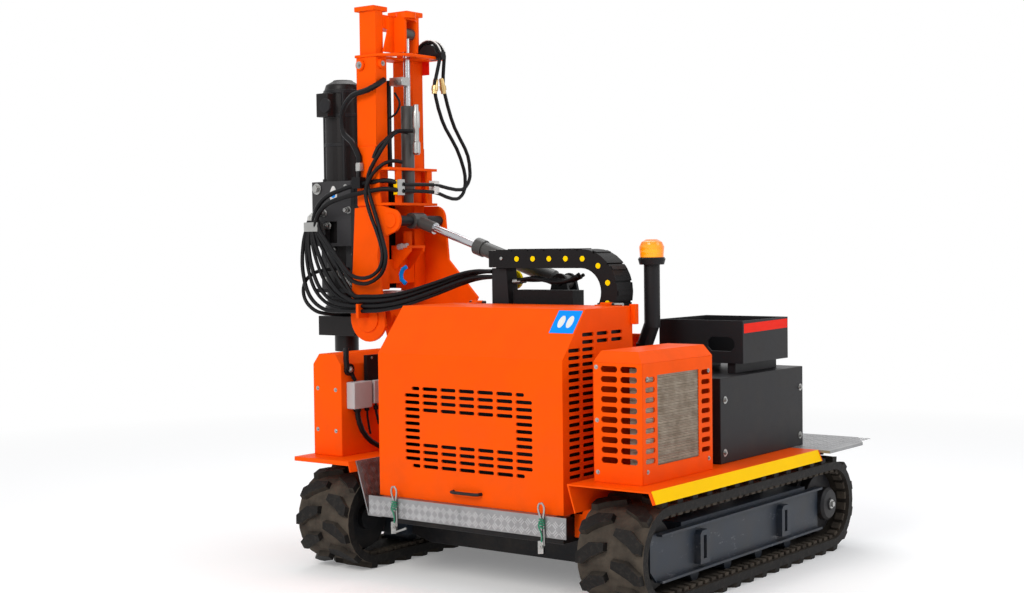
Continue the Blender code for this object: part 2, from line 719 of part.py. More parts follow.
def hood():
    outer = [
        (0.0, HOOD_LOW_Z),
        (HOOD_BACK_Y, HOOD_LOW_Z),
        (HOOD_BACK_Y, HOOD_TOP_Z),
        (HOOD_BREAK_Y, HOOD_TOP_Z),
        (0.0, HOOD_BREAK_Z),
    ]
    inner = inset(outer, HOOD_WALL)
    beyond = 0.05
    inner[0] = (inner[0][0], HOOD_LOW_Z - beyond)
    inner[1] = (HOOD_BACK_Y + beyond, HOOD_LOW_Z - beyond)
    inner[2] = (HOOD_BACK_Y + beyond, inner[2][1])
    shell = prism(outer, "X", -HOOD_HALF_WIDTH, HOOD_HALF_WIDTH)
    hollow = prism(inner, "X", HOOD_WALL - HOOD_HALF_WIDTH, HOOD_HALF_WIDTH - HOOD_WALL)
    front, side = [], []
    last_row, last_column = FRONT_SLOT_ROWS - 1, FRONT_SLOT_COLUMNS - 1
    for row in range(FRONT_SLOT_ROWS):
        for column in range(FRONT_SLOT_COLUMNS):
            if 4 <= row <= 7 and 0 < column < last_column:
                continue
            x = (column - last_column / 2) * FRONT_SLOT_PITCH_X
            z = FRONT_SLOT_TOP_Z - row * FRONT_SLOT_PITCH_Z
            length = SLOT_LENGTH
            if row in (0, last_row) and column in (0, last_column):
                length = SLOT_LENGTH * 0.52
                x -= math.copysign(SLOT_LENGTH * 0.24, x)
            outline = slot_outline((x, z), length, SLOT_HEIGHT)
            front.append(prism(outline, "Y", -0.01, HOOD_WALL + 0.02))
    for row in range(SIDE_SLOT_ROWS):
        z = SIDE_SLOT_TOP_Z - row * SIDE_SLOT_PITCH_Z
        for y in SIDE_SLOT_UPPER_YS if z > HOOD_BREAK_Z + 0.045 else SIDE_SLOT_YS:
            outline = slot_outline((y, z), SLOT_LENGTH, SLOT_HEIGHT)
            side.append(prism(outline, "X", -HOOD_HALF_WIDTH - 0.01, HOOD_HALF_WIDTH + 0.01))
    hinges = []
    hinge_y, hinge_z = HOOD_BACK_Y + HINGE_BACK, HOOD_TOP_Z + HINGE_RISE
    for x in HINGE_XS:
        hinges.append(rod((x - 0.03, hinge_y, hinge_z), (x + 0.03, hinge_y, hinge_z), HINGE_RADIUS, 10))
        hinges.append(block((x - 0.03, x + 0.03), (HOOD_BACK_Y - 0.04, hinge_y),
                            (HOOD_TOP_Z - 0.002, hinge_z)))
    piece("hood", "hood_lid", "orange", [shell] + hinges, [hollow, group(front), group(side)])


def bulkhead():
    """The fixed wall behind the hood, with the fixed halves of the hood's hinges."""
    low = HOOD_BACK_Y + GAP
    wall = block((-HOOD_HALF_WIDTH + 0.01, HOOD_HALF_WIDTH - 0.01), (low, low + BULKHEAD_WALL),
                 (DECK_TOP_Z + GAP, HOOD_TOP_Z - HINGE_RADIUS - 0.004))
    foot, step, tip = HOOD_TOP_Z - 0.06, HOOD_TOP_Z - 0.02, HOOD_TOP_Z + 0.01
    near, far = HOOD_BACK_Y + 0.003, HOOD_BACK_Y + 0.019
    ear = [(low, foot), (low + BULKHEAD_WALL, foot), (far, step), (far, tip), (near, tip), (low, step)]
    ears = []
    for x in HINGE_XS:
        for shift in (-0.0453, 0.0303):
            ears.append(prism(ear, "X", x + shift, x + shift + 0.015))
    piece("bulkhead", "root", "graphite", [wall] + ears)


def engine():
    half = ENGINE_WIDTH / 2
    lower = block((-half, half), (ENGINE_FRONT_Y, ENGINE_BACK_Y), (DECK_TOP_Z + GAP, ENGINE_TOP_Z))
    head = block((-half * 0.8, half * 0.8), (ENGINE_FRONT_Y + 0.06, ENGINE_BACK_Y - 0.06),
                 (ENGINE_TOP_Z - 0.01, ENGINE_TOP_Z + 0.09))
    piece("engine_block", "root", "graphite", [lower, head])


def radiator():
    x, y = RADIATOR_X, RADIATOR_Y
    base = FENDER_Z + GAP

    def housing(wall, low):
        """The outer form, or its hollow when wall isn't zero."""
        inner_x = (x[0] + wall, x[1] - wall)
        inner_y = (y[0] + wall, y[1] - wall)
        top_x = (inner_x[0] + RADIATOR_CHAMFER * 0.3, inner_x[1] - RADIATOR_CHAMFER)
        top_y = (inner_y[0] + RADIATOR_CHAMFER, inner_y[1])
        drop = wall * 0.7
        return loft([(inner_x, inner_y, low), (inner_x, inner_y, RADIATOR_BREAK_Z - drop),
                     (top_x, top_y, RADIATOR_TOP_Z - wall)])

    front, side = [], []
    wall = RADIATOR_WALL
    for row in range(RADIATOR_SLOT_ROWS):
        z = RADIATOR_SLOT_TOP_Z - row * RADIATOR_SLOT_PITCH_Z
        for centre in (x[0] + 0.076, x[1] - 0.061):
            outline = slot_outline((centre, z), RADIATOR_SLOT_LENGTH, RADIATOR_SLOT_HEIGHT)
            front.append(prism(outline, "Y", y[0] - 0.01, y[0] + RADIATOR_WALL + 0.01))
        if row > 0:
            for centre in (y[0] + 0.062, y[1] - 0.056):
                outline = slot_outline((centre, z), 0.070, RADIATOR_SLOT_HEIGHT * 0.85)
                side.append(prism(outline, "X", x[1] - RADIATOR_WALL - 0.01, x[1] + 0.01))
    low, high = base - 0.05, RADIATOR_BREAK_Z
    no_front = block((x[0] - 0.01, x[1] + 0.01), (y[0] - 0.01, y[0] + wall + GAP), (low, high))
    no_side = block((x[1] - wall - GAP, x[1] + 0.01), (y[0] - 0.01, y[1] + 0.01), (low, high))
    piece("radiator_housing", "root", "orange", [housing(0.0, base)],
          [housing(wall, low), no_front, no_side])
    grille = block(x, (y[0], y[0] + wall), (base, high - GAP))
    piece("radiator_grille", "root", "orange", [grille], [group(front)])
    panel = block((x[1] - wall, x[1]), (y[0] + wall + GAP, y[1]), (base, high - GAP))
    window = block((x[1] - wall - 0.01, x[1] + 0.01), WINDOW_Y, WINDOW_Z)
    piece("radiator_side", "root", "orange", [panel], [group(side), window])
    core = block((x[1] - 0.075, x[1] - RADIATOR_WALL - GAP), (y[0] + 0.03, WINDOW_Y[1] + 0.012),
                 (base, WINDOW_Z[1] + 0.030))
    piece("radiator_core", "root", "core", [core])


def tank_and_tray():
    base = FENDER_Z + GAP
    tank = block(TANK_X, TANK_Y, (base, TANK_TOP_Z))
    piece("oil_tank", "root", "graphite", [tank])
    x, y = TRAY_X, TRAY_Y
    wall = TRAY_WALL
    bin_outer = loft([(x, y, TRAY_LOW_Z), (x, y, TRAY_TOP_Z)])
    bin_inner = block((x[0] + wall, x[1] - wall), (y[0] + wall, y[1] - wall),
                      (TRAY_LOW_Z + wall, TRAY_TOP_Z + 0.05))
    hole_x = x[1] - 0.044 - HANDLE_HOLE[0] / 2
    hole = prism(slot_outline((hole_x, TRAY_TOP_Z - 0.106), *HANDLE_HOLE), "Y", y[0] - 0.01, y[1] + 0.01)
    feet = []
    for foot_x in (x[0] + 0.05, x[1] - 0.09):
        feet.append(block((foot_x, foot_x + 0.04), (y[0] + 0.02, y[1] - 0.02),
                          (TANK_TOP_Z + GAP, TRAY_LOW_Z + 0.003)))
    piece("tool_tray", "root", "graphite", [bin_outer] + feet, [bin_inner, hole])


def beacon():
    """A bent post off the tank's top, a flange and an amber lamp."""
    top_x, post_y, top_z = POST_TOP
    foot = (POST_FOOT_X, post_y, TANK_TOP_Z + GAP)
    lower = rod(foot, (POST_FOOT_X, post_y, 1.02), POST_RADIUS, 14)
    knee = rod((POST_FOOT_X, post_y, 1.0), (top_x, post_y, 1.11), POST_RADIUS * 0.985, 14)
    upper = rod((top_x, post_y, 1.09), (top_x, post_y, top_z), POST_RADIUS, 14)
    foot_plate = block((TANK_X[0] + 0.002, TANK_X[0] + 0.11), (TANK_Y[0] + 0.002, TANK_Y[0] + 0.10),
                       (TANK_TOP_Z + GAP, TANK_TOP_Z + 0.008))
    base = turned([(-0.004, 0.055), (0.022, 0.062), (0.026, 0.055)], (top_x, post_y, top_z), (0, 0, 1), 20)
    piece("beacon_post", "root", "graphite", [upper, lower, knee, foot_plate, base])
    radius = BEACON_RADIUS
    dome = (  # (along, radius)
        (0.0, radius * 0.94), (BEACON_HEIGHT * 0.60, radius),
        (BEACON_HEIGHT * 0.86, radius * 0.82), (BEACON_HEIGHT, radius * 0.45),
    )
    lens = turned(dome, (top_x, post_y, top_z + 0.026 + GAP), (0, 0, 1), 20)
    piece("beacon_lens", "root", "amber", [lens])


def left_box():
    x, y = BOX_X, BOX_Y
    cut = BOX_CHAMFER
    outline = [(x[0], FENDER_Z + GAP), (x[1], FENDER_Z + GAP), (x[1], BOX_BREAK_Z), (x[1] - cut, BOX_TOP_Z),
               (x[0] + cut, BOX_TOP_Z), (x[0], BOX_BREAK_Z)]
    body_form = prism(outline, "Y", *y)
    piece("side_box", "root", "orange", [body_form])
    face = x[1] + GAP
    boxes = [block((face, face + 0.050), y_span, z_span) for y_span, z_span in JUNCTION_BOXES]
    rail_y = (JUNCTION_BOXES[0][0][0] + 0.01, JUNCTION_BOXES[1][0][1] - 0.01)
    rail = block((face, face + 0.012), rail_y, (0.78, 0.81))
    piece("junction_boxes", "root", "cylinder_grey", [rail] + boxes)


def rear_cabinet():
    x, y = CABINET_X, CABINET_Y
    z = CABINET_TOP_Z
    low = DECK_TOP_Z + GAP
    form = prism([(y[0], low), (y[1], low), (y[1], z - 0.10), (y[1] - 0.10, z), (y[0], z)], "X", *x)
    piece("rear_cabinet", "root", "orange", [form])


# Side shift


def guide():
    """A channel along X, open above, on a pedestal: the beam slides in it."""
    half = BEAM_WIDTH / 2 + GAP
    low = GUIDE_LOW_Z
    floor = low + GUIDE_WALL
    top = floor + GAP + BEAM_HEIGHT * 0.62
    outer = half + GUIDE_WALL
    lip = 0.022
    under = top + GAP
    top += GUIDE_WALL
    channel = [  # (off the middle, z)
        (outer, low), (outer, top), (half - lip, top), (half - lip, under), (half, under), (half, floor),
    ]
    outline = [(MAST_Y + off, z) for off, z in channel]
    outline += [(MAST_Y - off, z) for off, z in reversed(channel)]
    foot = [(outer + 0.05, DECK_TOP_Z + GAP), (outer - 0.004, low + 0.004)]
    stand = [(MAST_Y + off, z) for off, z in foot] + [(MAST_Y - off, z) for off, z in reversed(foot)]
    pedestal = prism(stand, "X", *PEDESTAL_X)
    piece("slide_guide", "root", "orange", [prism(outline, "X", *GUIDE_X), pedestal])


def beam():
    """The sliding beam: a wide foot held under the guide's lips and a narrower web."""
    half = BEAM_WIDTH / 2
    low = GUIDE_LOW_Z + GUIDE_WALL + GAP
    foot = low + BEAM_HEIGHT * 0.62
    top = low + BEAM_HEIGHT
    neck = half - 0.022 - 0.004
    outline = [
        (MAST_Y - half, low), (MAST_Y + half, low), (MAST_Y + half, foot), (MAST_Y + neck, foot),
        (MAST_Y + neck, top), (MAST_Y - neck, top), (MAST_Y - neck, foot), (MAST_Y - half, foot),
    ]
    bore = rod((PIVOT_X, MAST_Y - 0.12, PIVOT_Z), (PIVOT_X, MAST_Y + 0.12, PIVOT_Z), PIN_RADIUS + 0.0012, 16)
    piece("slide_beam", "side_shift", "orange", [prism(outline, "X", *BEAM_X)] + beam_head(top), [bore])
    bracket_anchor(top, neck)
    chain_bracket(top, neck)


def bracket_anchor(top, neck):
    """Two ears on the beam that hold the tilt cylinder's foot."""
    ears = []
    for side in (-1, 1):
        near = MAST_Y + side * 0.030
        far = MAST_Y + side * 0.046
        outline = [(ANCHOR_X - 0.085, top + 0.004), (ANCHOR_X + 0.085, top + 0.004)]
        outline += arc((ANCHOR_X, ANCHOR_Z), 0.042, 0, 180, 8)
        ears.append(prism(outline, "Y", min(near, far), max(near, far)))
    foot = block((ANCHOR_X - 0.10, ANCHOR_X + 0.10), (MAST_Y - neck, MAST_Y + neck), (top + GAP, top + 0.012))
    pin = rod((ANCHOR_X, MAST_Y - 0.056, ANCHOR_Z), (ANCHOR_X, MAST_Y + 0.056, ANCHOR_Z), 0.018, 12)
    piece("tilt_anchor", "side_shift", "graphite", [foot] + ears + [pin])


def chain_bracket(top, neck):
    """The post on the beam that leads the cable chain's moving end."""
    x = (CHAIN_END_X - 0.045, CHAIN_END_X + 0.035)
    under = CHAIN_TOP_Z - CHAIN_THICKNESS - GAP
    over = CHAIN_TOP_Z - 2 * CHAIN_BEND_RADIUS + CHAIN_THICKNESS + 0.013  # clear of the lower run
    inner = MAST_Y - neck
    post = block(x, (inner, inner + 0.014), (top + GAP, over + 0.002))
    foot = block((x[0] - 0.015, x[1] + 0.015), (inner, MAST_Y - 0.022), (top + GAP, top + 0.010))
    arm = block(x, (CHAIN_Y[0] + 0.025, inner + 0.014), (over, over + 0.014))
    riser = prism([(x[0], over), (x[1] + 0.02, over), (x[1] + 0.005, under), (x[0], under)],
                  "Y", CHAIN_Y[0] + 0.025, CHAIN_Y[1] - 0.025)
    piece("chain_bracket", "side_shift", "graphite", [post, foot, arm, riser])


def beam_head(top):
    """The arm and hub at the beam's end, which the mast pivots on."""
    half = POST_GAP / 2 - 0.008
    hub = rod((PIVOT_X, MAST_Y - half, PIVOT_Z), (PIVOT_X, MAST_Y + half, PIVOT_Z), 0.062, 20)
    neck_y = BEAM_WIDTH / 2 - 0.004
    low = GUIDE_LOW_Z + GUIDE_WALL + GAP + 0.004
    arm = prism([(BEAM_X[0] + 0.02, low), (BEAM_X[0] + 0.02, top - 0.004), (BEAM_X[0] - 0.01, top + 0.02),
                 (PIVOT_X + 0.02, PIVOT_Z + 0.055), (PIVOT_X, PIVOT_Z - 0.055), (BEAM_X[0] - 0.03, low)],
                "Y", MAST_Y - neck_y, MAST_Y + neck_y)
    return [arm, hub]


def chain_notches(middle, outer):
    """Shallow slots across the chain's outer face, one between each two links."""
    straight = CHAIN_BEND_X - CHAIN_END_X
    bend = math.pi * outer
    length = 2 * straight + bend
    count = round(length / CHAIN_PITCH)
    notches = []
    for number in range(1, count):
        along = length * number / count
        if along < straight:
            spot, angle = (CHAIN_END_X + along, CHAIN_TOP_Z), 90
        elif along < straight + bend:
            angle = 90 - math.degrees((along - straight) / outer)
            turn = math.radians(angle)
            spot = (middle[0] + outer * math.cos(turn), middle[1] + outer * math.sin(turn))
        else:
            spot, angle = (CHAIN_BEND_X - (along - straight - bend), CHAIN_TOP_Z - 2 * outer), -90
        if spot[0] < CHAIN_FOOT_X + 0.02 and angle == -90:
            continue
        turn = math.radians(angle)
        out = Vector((math.cos(turn), 0, math.sin(turn)))
        side = Vector((-out.z, 0, out.x)) * CHAIN_NOTCH / 2
        centre = Vector((spot[0], 0, spot[1]))
        corners = [centre - side + out * 0.01, centre + side + out * 0.01,
                   centre + side - out * CHAIN_NOTCH, centre - side - out * CHAIN_NOTCH]
        notches.append(prism([(c.x, c.z) for c in corners], "Y", CHAIN_Y[0] - 0.01, CHAIN_Y[1] + 0.01))
    return notches


def cable_chain():
    """Links stood for by one bent band: top run, half turn, lower run on the guide's bracket."""
    outer, inner = CHAIN_BEND_RADIUS, CHAIN_BEND_RADIUS - CHAIN_THICKNESS
    middle = (CHAIN_BEND_X, CHAIN_TOP_Z - outer)
    outline = [(CHAIN_END_X, CHAIN_TOP_Z)]
    outline += arc(middle, outer, 90, -90, 16)[:]
    outline += [(CHAIN_FOOT_X, CHAIN_TOP_Z - 2 * outer), (CHAIN_FOOT_X, CHAIN_TOP_Z - outer - inner)]
    outline += arc(middle, inner, -90, 90, 16)
    outline += [(CHAIN_END_X, CHAIN_TOP_Z - CHAIN_THICKNESS)]
    clamp = block((CHAIN_END_X - 0.045, CHAIN_END_X + 0.01), (CHAIN_Y[0] + 0.004, CHAIN_Y[1] - 0.004),
                  (CHAIN_TOP_Z - CHAIN_THICKNESS + 0.004, CHAIN_TOP_Z - 0.004))
    piece("cable_chain", "cable_chain", "graphite", [prism(outline, "Y", *CHAIN_Y), clamp],
          [group(chain_notches(middle, outer))])
    low = CHAIN_TOP_Z - 2 * outer - GAP
    near = MAST_Y - (BEAM_WIDTH / 2 + GAP + GUIDE_WALL) - GAP
    x = (CHAIN_FOOT_X - 0.12, CHAIN_BEND_X - 0.05)
    shelf = block(x, (CHAIN_Y[0], near), (low - 0.012, low))
    web = block(x, (near - 0.010, near), (low - 0.075, low - 0.011))
    piece("chain_shelf", "root", "graphite", [shelf, web])


# Mast


def post_ys():
    """The (low, high) Y of the near and the far post."""
    half = POST_GAP / 2
    return (
        (MAST_Y - half - POST_WIDTH, MAST_Y - half),
        (MAST_Y + half, MAST_Y + half + POST_WIDTH),
    )


def mast_fixed_stage():
    """Two channels open towards the hammer, tied by collar, shelves and side plates."""
    front, back = MAST_FRONT_X, MAST_BACK_X
    wall = POST_WALL
    for label, (low, high) in zip(("near", "far"), post_ys()):
        outline = [
            (back, low), (front, low), (front, high), (back, high),
            (back, high - wall), (front - wall, high - wall), (front - wall, low + wall), (back, low + wall),
        ]
        face = (low - SLEEVE_PLATE, low + 0.004) if label == "near" else (high - 0.004, high + SLEEVE_PLATE)
        sleeve = block((back + 0.002, front - 0.002), face, (SHELF_ZS[0] + GAP, SLEEVE_TOP_Z))
        piece("mast_post_" + label, "mast", "orange", [prism(outline, "Z", MAST_LOW_Z, COLLAR_Z), sleeve])
    collar()
    holder()
    side_plates()
    lift_cylinder()


def collar():
    """The head plate of the fixed stage, notched for the sliding posts, with the hose wheel's bracket."""
    near, far = post_ys()
    low = COLLAR_Z + GAP
    rear = MAST_BACK_X - 0.006
    outline = [
        (rear, near[0] - 0.006), (MAST_FRONT_X + 0.004, near[0] - 0.006),
        (COLLAR_FRONT_X - 0.050, near[1] - 0.035), (COLLAR_FRONT_X - 0.007, near[1]),
        (COLLAR_FRONT_X, near[1] + 0.03), (COLLAR_FRONT_X, far[1] + 0.02), (rear, far[1] + 0.02),
    ]
    plate = prism(outline, "Z", low, low + COLLAR_PLATE)
    cuts = []
    z = (low - 0.01, low + 0.05)
    inner = POST_WALL - 0.001
    for y in (near, far):
        cuts.append(block((MAST_BACK_X - 0.02, MAST_FRONT_X - inner), (y[0] + inner, y[1] - inner), z))
    cuts.append(block((MAST_FRONT_X - 0.035, EAR_FRONT_X + 0.020), (near[1] - 0.002, far[0] + 0.002), z))
    cuts.append(block((MAST_FRONT_X - 0.02, MAST_FRONT_X + 0.020), (near[1] - 0.044, near[1]), z))
    piece("mast_collar", "mast", "orange", [plate], cuts)
    foot = low + COLLAR_PLATE + GAP
    outline = arc((-0.962, foot), 0.064, 0, 180, 12)
    arch = prism(outline, "Y", far[1] - 0.055, far[1] - 0.002)
    piece("hose_wheel", "mast", "graphite", [arch])


def holder():
    """Two shelves in front of the posts with four legs between them."""
    near, far = post_ys()
    low_y, high_y = near[0] - 0.012, far[1] - 0.008
    back = MAST_FRONT_X + GAP
    front = SHELF_FRONT_X
    plates = []
    for z in SHELF_ZS:
        plates.append(block((back, front), (low_y, high_y), (z, z + SHELF_PLATE)))
    legs = []
    foot, top = SHELF_ZS[0] + 0.010, SHELF_ZS[1] + 0.006
    for leg_y in LEG_YS:
        legs.append(block((front - 0.018, front - 0.005), leg_y, (foot, top)))
    rib = [(back, foot), (back + 0.03, foot), (back + 0.02, top), (back, top)]
    for rib_y in (low_y, high_y - 0.010):
        legs.append(prism(rib, "Y", rib_y, rib_y + 0.010))
    upper = SHELF_ZS[1]
    hole = rod((LIFT_X, MAST_Y, upper - 0.02), (LIFT_X, MAST_Y, upper + 0.05), LIFT_TUBE_RADIUS + 0.010, 16)
    piece("mast_shelves", "mast", "orange", plates + legs, [hole])


def side_plates():
    """The near and far plates that carry the tilt pin above and the pivot below."""
    near, far = post_ys()
    near_y = (near[0] - SIDE_PLATE - GAP, near[0] - GAP)
    far_y = (far[1] + GAP, far[1] + SIDE_PLATE + GAP)
    top = SHELF_ZS[0] - GAP
    back = MAST_BACK_X - 0.010
    foot = arc((PIVOT_X, PIVOT_Z), FOOT_RADIUS, 180, 340, 12)
    cheek = arc((CHEEK_X, CHEEK_Z), CHEEK_RADIUS, -75, 60, 8)
    near_outline = [(back, top - 0.01)] + foot + [(MAST_FRONT_X + 0.006, 1.42), (MAST_FRONT_X + 0.02, 1.50)]
    near_outline += cheek + [(MAST_FRONT_X + 0.03, top)]
    near_plate = prism(near_outline, "Y", *near_y)
    disc = rod((CHEEK_X, near_y[0] - 0.006, CHEEK_Z), (CHEEK_X, near_y[1] - 0.002, CHEEK_Z),
               CHEEK_RADIUS * 0.6, 20)
    boss = rod((PIVOT_X, near_y[0] - 0.008, PIVOT_Z), (PIVOT_X, near_y[1] - 0.002, PIVOT_Z), 0.070, 20)
    hose_x, hose_y, hose_z = HAMMER_BUNDLE[0]
    hose_block = block((hose_x + GAP, hose_x + 0.018), (hose_y - 0.035, near_y[0] + 0.002),
                       (hose_z - 0.035, hose_z + 0.035))
    piece("mast_plate_near", "mast", "orange", [near_plate, disc, boss, hose_block])
    far_outline = [(back, top - 0.01)] + foot
    far_outline += [(-0.72, 1.175), (-0.700, 1.205)]
    far_outline += [(CHEEK_X + 0.055, 1.395), (CHEEK_X + 0.035, CHEEK_Z + 0.02)]
    far_outline += arc((CHEEK_X - 0.025, top - 0.060), 0.060, 10, 80, 5) + [(MAST_FRONT_X, top)]
    far_plate = prism(far_outline, "Y", *far_y)
    far_boss = rod((PIVOT_X, far_y[0] + 0.002, PIVOT_Z), (PIVOT_X, far_y[1] + 0.008, PIVOT_Z), 0.070, 20)
    piece("mast_plate_far", "mast", "orange", [far_plate, far_boss])
    for label, start, end in (("near", near_y[1] + GAP, MAST_Y - KNUCKLE_HALF - GAP),
                              ("far", MAST_Y + KNUCKLE_HALF + GAP, far_y[0] - GAP)):
        pin = rod((CHEEK_X, start, CHEEK_Z), (CHEEK_X, end, CHEEK_Z), PIN_RADIUS, 16)
        piece("tilt_pin_" + label, "mast", "graphite", [pin])
    tie_y = (near[1] + GAP, far[0] - GAP)
    tie = block((MAST_BACK_X + 0.01, MAST_FRONT_X - 0.004), tie_y, (MAST_LOW_Z + 0.03, MAST_LOW_Z + 0.15))
    back, front = MAST_FRONT_X - 0.02, LIFT_X + 0.055
    low, high = MAST_LOW_Z + 0.10, MAST_LOW_Z + 0.21
    width = (MAST_Y - 0.06, MAST_Y + 0.06)
    seat_parts = [
        block((back, front), width, (high - 0.005, high + 0.009)),
        block((back, back + 0.012), width, (low, high)),
    ]
    rib = [(back, low), (back + 0.03, low), (front, high - 0.02), (front, high), (back, high)]
    for rib_y in (MAST_Y - 0.055, MAST_Y + 0.043):
        seat_parts.append(prism(rib, "Y", rib_y, rib_y + 0.012))
    stub_x = LIFT_X - 0.01
    stub = rod((stub_x, MAST_Y, high), (stub_x, MAST_Y, STUB_TOP_Z), LIFT_TUBE_RADIUS * 0.9, 16)
    piece("mast_tie", "mast", "orange", [tie, stub] + seat_parts)
    pivot_pin = rod((PIVOT_X, near_y[1] + GAP, PIVOT_Z), (PIVOT_X, far_y[0] - GAP, PIVOT_Z), PIN_RADIUS, 16)
    piece("pivot_pin", "mast", "graphite", [pivot_pin])


def lift_cylinder():
    foot = SHELF_ZS[0] + SHELF_PLATE + GAP
    step = LIFT_HEAD_Z - LIFT_HEAD_LENGTH - foot
    profile = (  # (along, radius)
        (0.0, LIFT_TUBE_RADIUS), (step - 0.01, LIFT_TUBE_RADIUS),
        (step, LIFT_RADIUS), (LIFT_HEAD_Z - foot, LIFT_RADIUS),
    )
    barrel = turned(profile, (LIFT_X, MAST_Y, foot), (0, 0, 1), 18)
    bore = rod((LIFT_X, MAST_Y, foot + 0.015), (LIFT_X, MAST_Y, LIFT_HEAD_Z + 0.02),
               LIFT_ROD_RADIUS + 0.0006, 14)
    piece("lift_barrel", "mast", "cylinder_grey", [barrel], [bore])


def mast_sliding_stage():
    """The inner posts, their head and the lift rod."""
    x = (MAST_BACK_X + 0.015, MAST_FRONT_X - POST_WALL - GAP)
    near, far = post_ys()
    clear = POST_WALL + GAP
    head_low = INNER_TOP_Z - 0.004
    for label, y in (("near", near), ("far", far)):
        inner = block(x, (y[0] + clear, y[1] - clear), (INNER_LOW_Z, INNER_TOP_Z))
        plate_y = (near[0] - 0.004, near[1] + 0.02) if label == "near" else (far[0] - 0.03, far[1] + 0.016)
        plate = block((MAST_BACK_X - 0.006, MAST_FRONT_X - 0.006), plate_y, (head_low, head_low + HEAD_PLATE))
        piece("inner_post_" + label, "mast_extension", "orange", [inner, plate])
    cross_y = (near[1] - clear + GAP, far[0] + clear - GAP)
    cross = block((x[0] + 0.01, x[1]), cross_y, (INNER_TOP_Z - 0.086, INNER_TOP_Z - 0.02))
    low, high = LIFT_PIN_Z - 0.095, LIFT_PIN_Z + 0.080
    inner, outer = EAR_INNER, EAR_INNER + EAR_PLATE
    back, front = x[1] - 0.005, EAR_FRONT_X
    outline = [(back, low), (front, low), (front, high - 0.02), (front - 0.02, high), (back, high)]
    parts = [cross]
    for ear_y in (MAST_Y - outer, MAST_Y + inner):
        parts.append(prism(outline, "Y", ear_y, ear_y + EAR_PLATE))
    web_x = (MAST_FRONT_X + GAP, MAST_FRONT_X + 0.012)
    parts.append(block((back, web_x[1]), (near[1] + 0.010, far[0] - 0.010), (LIFT_PIN_Z + 0.02, high)))
    edge = MAST_Y - inner - 0.002
    web = [(near[1] - 0.030, low), (edge, low), (edge, high), (near[1] + 0.028, high)]
    parts.append(prism(web, "X", *web_x))
    parts.append(block((back, front - 0.012), (MAST_Y - outer + 0.002, MAST_Y + outer - 0.002),
                       (high - 0.012, high - 0.001)))
    parts.append(rod((LIFT_X, MAST_Y, high - 0.004), (LIFT_X, MAST_Y, high + 0.022), BOSS_RADIUS, 20))
    piece("inner_crosshead", "mast_extension", "orange", parts)
    half = EAR_INNER - GAP
    eye = rod((LIFT_X, MAST_Y - half, LIFT_PIN_Z), (LIFT_X, MAST_Y + half, LIFT_PIN_Z), 0.029, 16)
    shaft = rod((LIFT_X, MAST_Y, LIFT_HEAD_Z - LIFT_ROD_INSIDE), (LIFT_X, MAST_Y, LIFT_PIN_Z),
                LIFT_ROD_RADIUS, 14)
    piece("lift_rod", "mast_extension", "chrome", [shaft, eye])


# Tilt cylinder


def tilt_cylinder():
    anchor = Vector((ANCHOR_X, MAST_Y, ANCHOR_Z))
    pin = Vector((CHEEK_X, MAST_Y, CHEEK_Z))
    along = (pin - anchor).normalized()
    length = (pin - anchor).length
    eye_half = 0.030 - 0.0003
    eye = rod(anchor - Vector((0, eye_half, 0)), anchor + Vector((0, eye_half, 0)), 0.034, 16)
    eye_bore = rod(anchor - Vector((0, 0.05, 0)), anchor + Vector((0, 0.05, 0)), 0.0194, 14)
    start = 0.026
    slim, head = TILT_RADIUS * 0.86, TILT_BARREL_LENGTH - 0.05
    profile = (  # (along, radius)
        (0, 0.024), (0.03, 0.024), (0.035, slim), (head, slim),
        (head, TILT_RADIUS), (TILT_BARREL_LENGTH, TILT_RADIUS),
    )
    barrel = turned(profile, anchor + along * start, along, 18)
    mouth = rod(anchor + along * (start + 0.05), anchor + along * (start + TILT_BARREL_LENGTH + 0.02),
                TILT_ROD_RADIUS + 0.0006, 14)
    piece("tilt_barrel", "tilt_barrel", "cylinder_grey", [barrel, eye], [eye_bore, mouth])
    half = Vector((0, KNUCKLE_HALF, 0))
    knuckle = rod(pin - half, pin + half, PIN_RADIUS + 0.014, 16)
    neck = rod(pin - along * 0.028, pin - along * 0.13, 0.030, 14)
    shaft = rod(pin - along * 0.12, anchor + along * TILT_ROD_INSIDE, TILT_ROD_RADIUS, 14)
    assert length > TILT_BARREL_LENGTH
    piece("tilt_rod", "tilt_rod", "chrome", [shaft, neck, knuckle])


# Hammer


